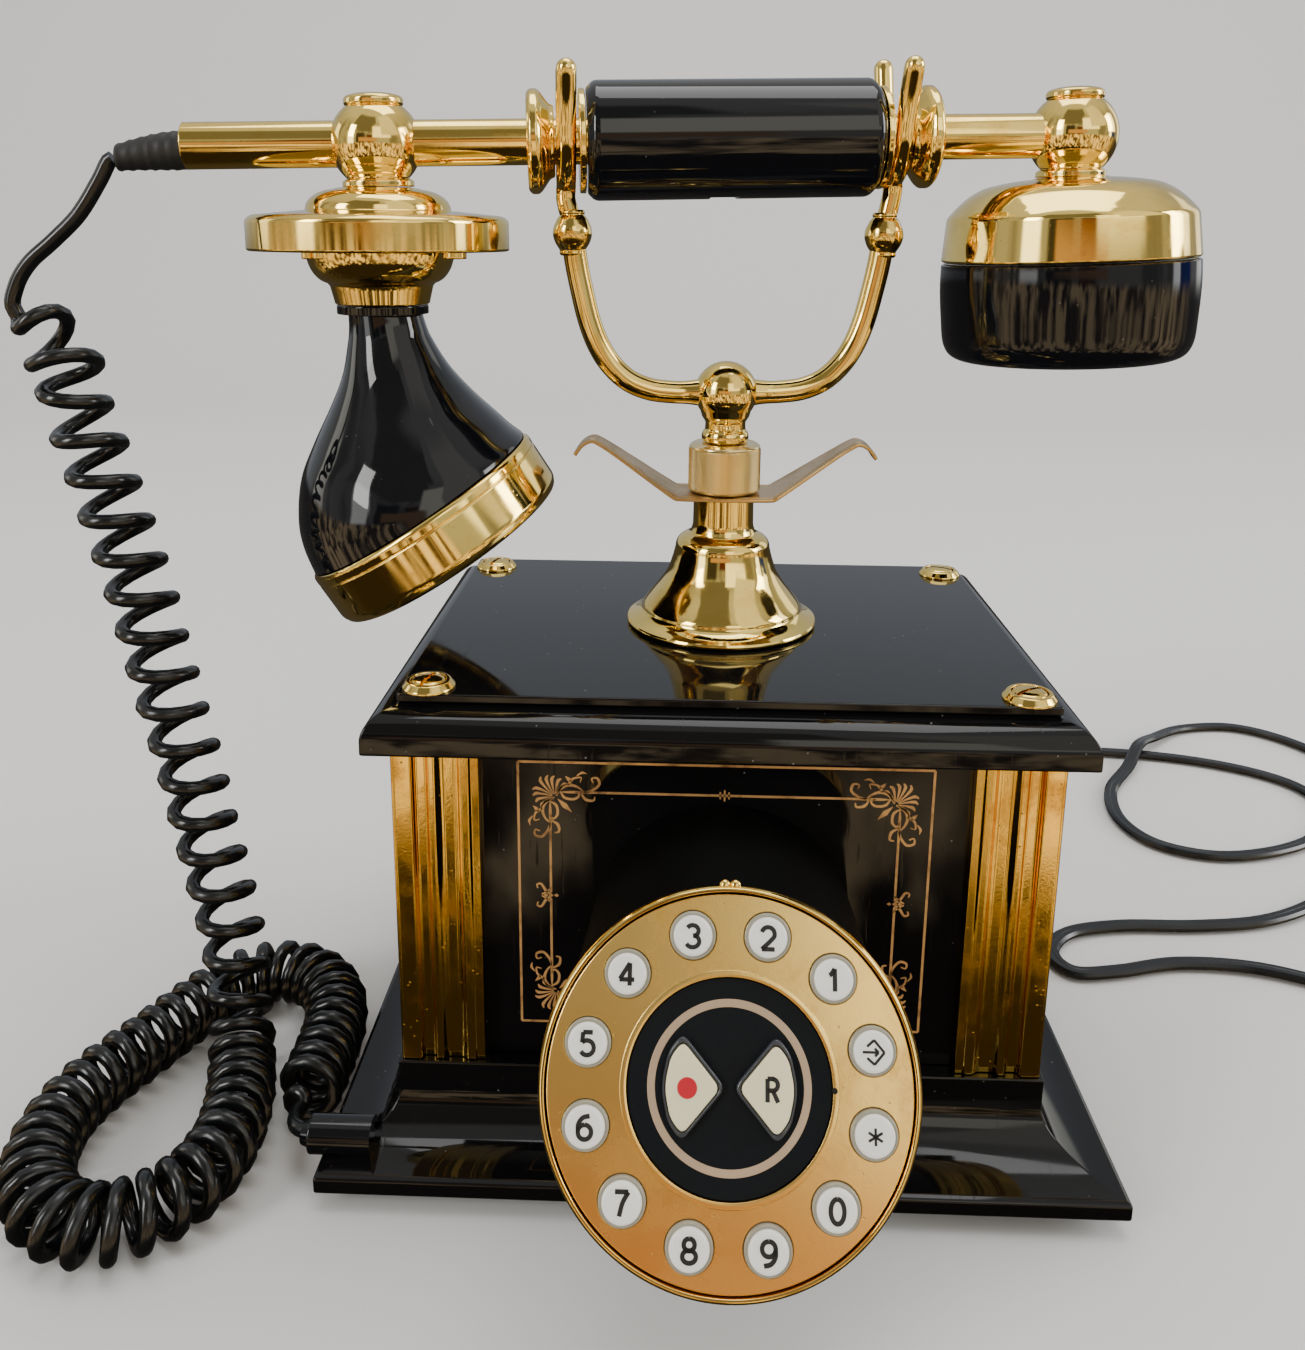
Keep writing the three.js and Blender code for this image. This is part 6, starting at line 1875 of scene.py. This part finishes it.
@dataclass
class Dial:
    """The drum with its brass face, keys and centre."""

    radius: float = 36.65
    tilt_reach: float = 52.2
    height: float = 65.0
    plate_radius: float = 35.0
    plate_thickness: float = 1.2
    centre_radius: float = 19.5
    key_circle: float = 28.2
    key_radius: float = 4.3
    key_middle: float = -0.1
    names: tuple[str, ...] = ("2", "1", "redial", "star", "0", "9", "8", "7", "6", "5", "4", "3")
    function_outline: tuple[Corner, ...] = (
        (1.8, 0, 1.6), (8.9, -8.1, 2.6), (11.2, -5.4, 1.5), (12.4, 0, 4.0), (11.2, 5.4, 1.5),
                                            (8.9, 8.1, 2.6))

    def outline(self, side: int, enlarged: float) -> list[Corner]:
        """Returns a function key's outline, enlarged about its heart."""
        heart = 8.3
        corners = [(side * (heart + (x - heart) * enlarged), y * enlarged, ease * enlarged)
                   for x, y, ease in self.function_outline]
        return [(p.x, p.y) for p in rounded(corners, steps=8, closed=True)]

    def key_place(self, index: int) -> tuple[float, float]:
        """Returns a round key's middle on the dial."""
        angle = math.pi / 2 - math.pi / 12 - TURN * index / 12
        return self.key_circle * math.cos(angle), self.key_circle * math.sin(angle)

    def build(self, shop: Workshop, places: Places, palette: Palette) -> None:
        """Builds and dresses the dial."""
        here = places.dial
        shop.shape("dial_housing", self.drum(places.dial_tilt), places.floor, palette.drum, "base",
                   "lacquer",
                   ["dial_housing"])
        holes = [circle(self.key_radius + 0.32, 48, self.key_place(i)) for i in range(12)]
        plate = cut_plate("dial_plate", [circle(self.plate_radius, 160), circle(20.0), *holes],
                          self.plate_thickness, 0.2, here)
        shop.piece("dial_plate", plate, palette.dial_brass, "base", "dial_brass", ["dial_plate"])
        ridge = revolved(rounded([(19.7, -1.0), (19.7, 0.06, 0.1), (20.2, 0.12, 0.2), (20.9, 0.07, 0.1),
                                  (21.1, -0.1), (21.1, -1.0)], closed=True), 128, closed=True)
        shop.shape("dial_ridge", ridge, here, palette.dial_brass, "base", "dial_brass")
        rim = revolved(rounded([(35.3, -5.5), (36.4, -5.5, 0.2), (36.7, -5.0, 0.2), (36.7, -0.5, 0.4),
                                (36.1, 0.35, 0.3), (35.5, 0.3, 0.1), (35.3, -0.2)], closed=True), 160,
                       closed=True)
        shop.shape("dial_rim", rim, here, palette.brass, "base", "polished_brass", ["dial_rim"])
        self._centre(shop, here, palette)
        for index, name in enumerate(self.names):
            x, y = self.key_place(index)
            self._key(shop, name, here @ Matrix.Translation((x, y, 0)), palette)
        self._function_key(shop, "key_mute", -1, here, palette)
        self._function_key(shop, "key_recall", 1, here, palette)

    def drum(self, tilt: float) -> Shape:
        """Returns the drum, from the dial's back to the front panel."""
        y0, z0 = -(116.4 / 2 + self.tilt_reach), self.height
        rows = []
        for radius, back in ((33.0, 1.4), (34.4, 1.45), (self.plate_radius, 2.0), (self.plate_radius, 7.0),
                             (34.9, 8.0), (34.6, 9.2)):
            rows.append([Vector((radius * math.cos(a), y0 + radius * math.sin(a) * math.sin(tilt)
                                 + back * math.cos(tilt),
                                 z0 + radius * math.sin(a) * math.cos(tilt) - back * math.sin(tilt)))
                         for a in (TURN * k / 128 for k in range(128))])
        rows.append([Vector((30 * math.cos(a), -54.8, z0 + 30 * math.sin(a)))
                     for a in (TURN * k / 128 for k in range(128))])
        return lofted(rows)

    def _centre(self, shop: Workshop, here: Matrix, palette: Palette) -> None:
        """Builds the centre disc with its ring, bezels and a pinhole of painted shade, and the clip on the
        rim.
        """
        disc = cut_plate("centre_disc", [circle(self.centre_radius, 128), self.outline(-1, 1.09),
                                         self.outline(1, 1.09)], self.plate_thickness, 0.1,
                         here @ Matrix.Translation((0, 0, -0.4)))
        shop.piece("centre_disc", disc, palette.matt_black, "base", "black_plastic", ["centre_disc"])
        ring = revolved(rounded([(14.2, -0.7), (14.2, -0.32, 0.1), (15.7, -0.32, 0.1), (15.7, -0.7)],
                                closed=True),
                        128, closed=True)
        shop.shape("centre_ring", ring, here, palette.champagne, "base", "black_plastic")
        for name, side in (("left", -1), ("right", 1)):
            bezel = cut_plate(f"bezel_{name}", [self.outline(side, 1.17), self.outline(side, 1.03)], 1.7,
                              0.42,
                              here @ Matrix.Translation((0, 0, 0.9)))
            shop.piece(f"bezel_{name}", bezel, palette.bezel, "base", "black_plastic")
        # a small dark disc of painted shade stands in for the pinhole
        hole = revolved(placed_profile(0.55, -0.6, -0.36, 0.02), 24)
        shop.shape("pinhole", hole, here @ Matrix.Translation((20.0, 0, 0.6)), palette.painted_hole_shade, "base",
                   "black_plastic")
        beads = Shape()
        for x in (-1.05, 1.05):
            bead = revolved([(1.1 * math.cos(math.radians(a)), 0.8 * math.sin(math.radians(a)))
                             for a in range(-90, 91, 15)], 32)
            beads.join(bead.moved(Matrix.Translation((x, self.radius + 0.1, -0.5))))
        shop.shape("rim_clip", beads, here, palette.brass, "base", "polished_brass")

    def _key(self, shop: Workshop, name: str, place: Matrix, palette: Palette) -> None:
        """Builds one round key: a clear skirt, a white cap and its figure."""
        body = f"key_{name}"
        skirt = revolved(rounded([(0, -2.4), (4.52, -2.4), (4.52, 0.6, 0.3), (4.3, 1.05, 0.2), (3.6, 1.0),
                                  (0, 1.0)]),
                         64)
        shop.shape(f"skirt_{name}", skirt, place, palette.key_skirt, body, "key_white", [body])
        cap = revolved(rounded([(0, 0.9), (3.8, 0.9), (3.75, 1.6, 0.3), (3.3, 1.84, 0.3), (0, 1.9)]), 64)
        shop.shape(f"cap_{name}", cap, place, palette.key_white, body, "key_white")
        mark = place @ Matrix.Translation((0, 0, 1.9))
        shop.shape(f"figure_{name}", Figure(name).shape(), mark, palette.figure, body, "key_white")

    def _function_key(self, shop: Workshop, name: str, side: int, here: Matrix, palette: Palette) -> None:
        """Builds one function key with its mark."""
        key = cut_plate(name, [self.outline(side, 1.0)], 3.0, 0.3, here @ Matrix.Translation((0, 0, 1.4)))
        shop.piece(f"cap_{name}", key, palette.key_cream, name, "key_cream", [name])
        mark = here @ Matrix.Translation((side * 8.05, 0, 1.4))
        if side < 0:
            dot = revolved(placed_profile(1.9, -0.2, 0.08, 0.05), 48)
            shop.shape("dot", dot, mark, palette.red, name, "key_cream")
        else:
            shop.shape("letter", Figure("R").shape(), mark, palette.figure, name, "key_cream")


# ----------------------------------------------------------------------------------------------
# Pieces that keep their plain form
# ----------------------------------------------------------------------------------------------


def dress_plain(frame: dict, palette: Palette) -> None:
    """Gives the plain solids that stay visible their finishes."""
    finishes = {
        "case": palette.lacquer,
        "bottom_cover": palette.matt_black,
        "circuit_board": palette.board,
        "hook_spring": palette.steel,
        # the ear capsule, seen through the sound holes, gets the near-black painted hole shade
        "ear_capsule": palette.painted_hole_shade,
    }
    for name, finish in finishes.items():
        mesh = frame["nodes"][name].data
        mesh.materials.clear()
        mesh.materials.append(finish)


def build_plug(shop: Workshop, palette: Palette) -> None:
    """Builds the clear plug of the line cord over its solid."""
    low, high = (Vector(corner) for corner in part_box("line_plug"))
    centre = (low + high) / 2
    place = (Matrix.Translation((centre.x, centre.y, low.z)) @ Matrix.Rotation(0.5, 4, "Z")
             @ Matrix.Scale(MM, 4))
    tall = (high.z - low.z) / MM
    body = slab(5.0, 7.0, 0.0, tall, 0.5, 0.8)
    latch = slab(1.5, 5.5, tall, tall + 0.9, 0.2, 0.3)
    shop.shape("line_plug", body.join(latch), place, palette.key_skirt, "base", "black_plastic",
               ["line_plug"])


def main() -> None:
    """Builds the whole telephone."""
    logging.basicConfig(level=logging.INFO, format="%(name)s: %(message)s")
    random.seed(SEED)
    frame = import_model()
    places = Places(frame)
    studio = Studio()
    studio.camera(Vector((places.stem.x, places.stem.y, level("top_plate"))))
    shop = Workshop()
    palette = Palette()
    HandsetCord().build(shop, places, palette)
    build_plug(shop, palette)
    LineCord().build(shop, places, palette)
    studio.floor()
    studio.lights()
    Base().build(shop, places, palette)
    Stem().build(shop, places, palette)
    Cradle().build(shop, places, palette)
    Handset().build(shop, places, palette)
    Dial().build(shop, places, palette)
    dress_plain(frame, palette)


if __name__ == "__main__":
    main()
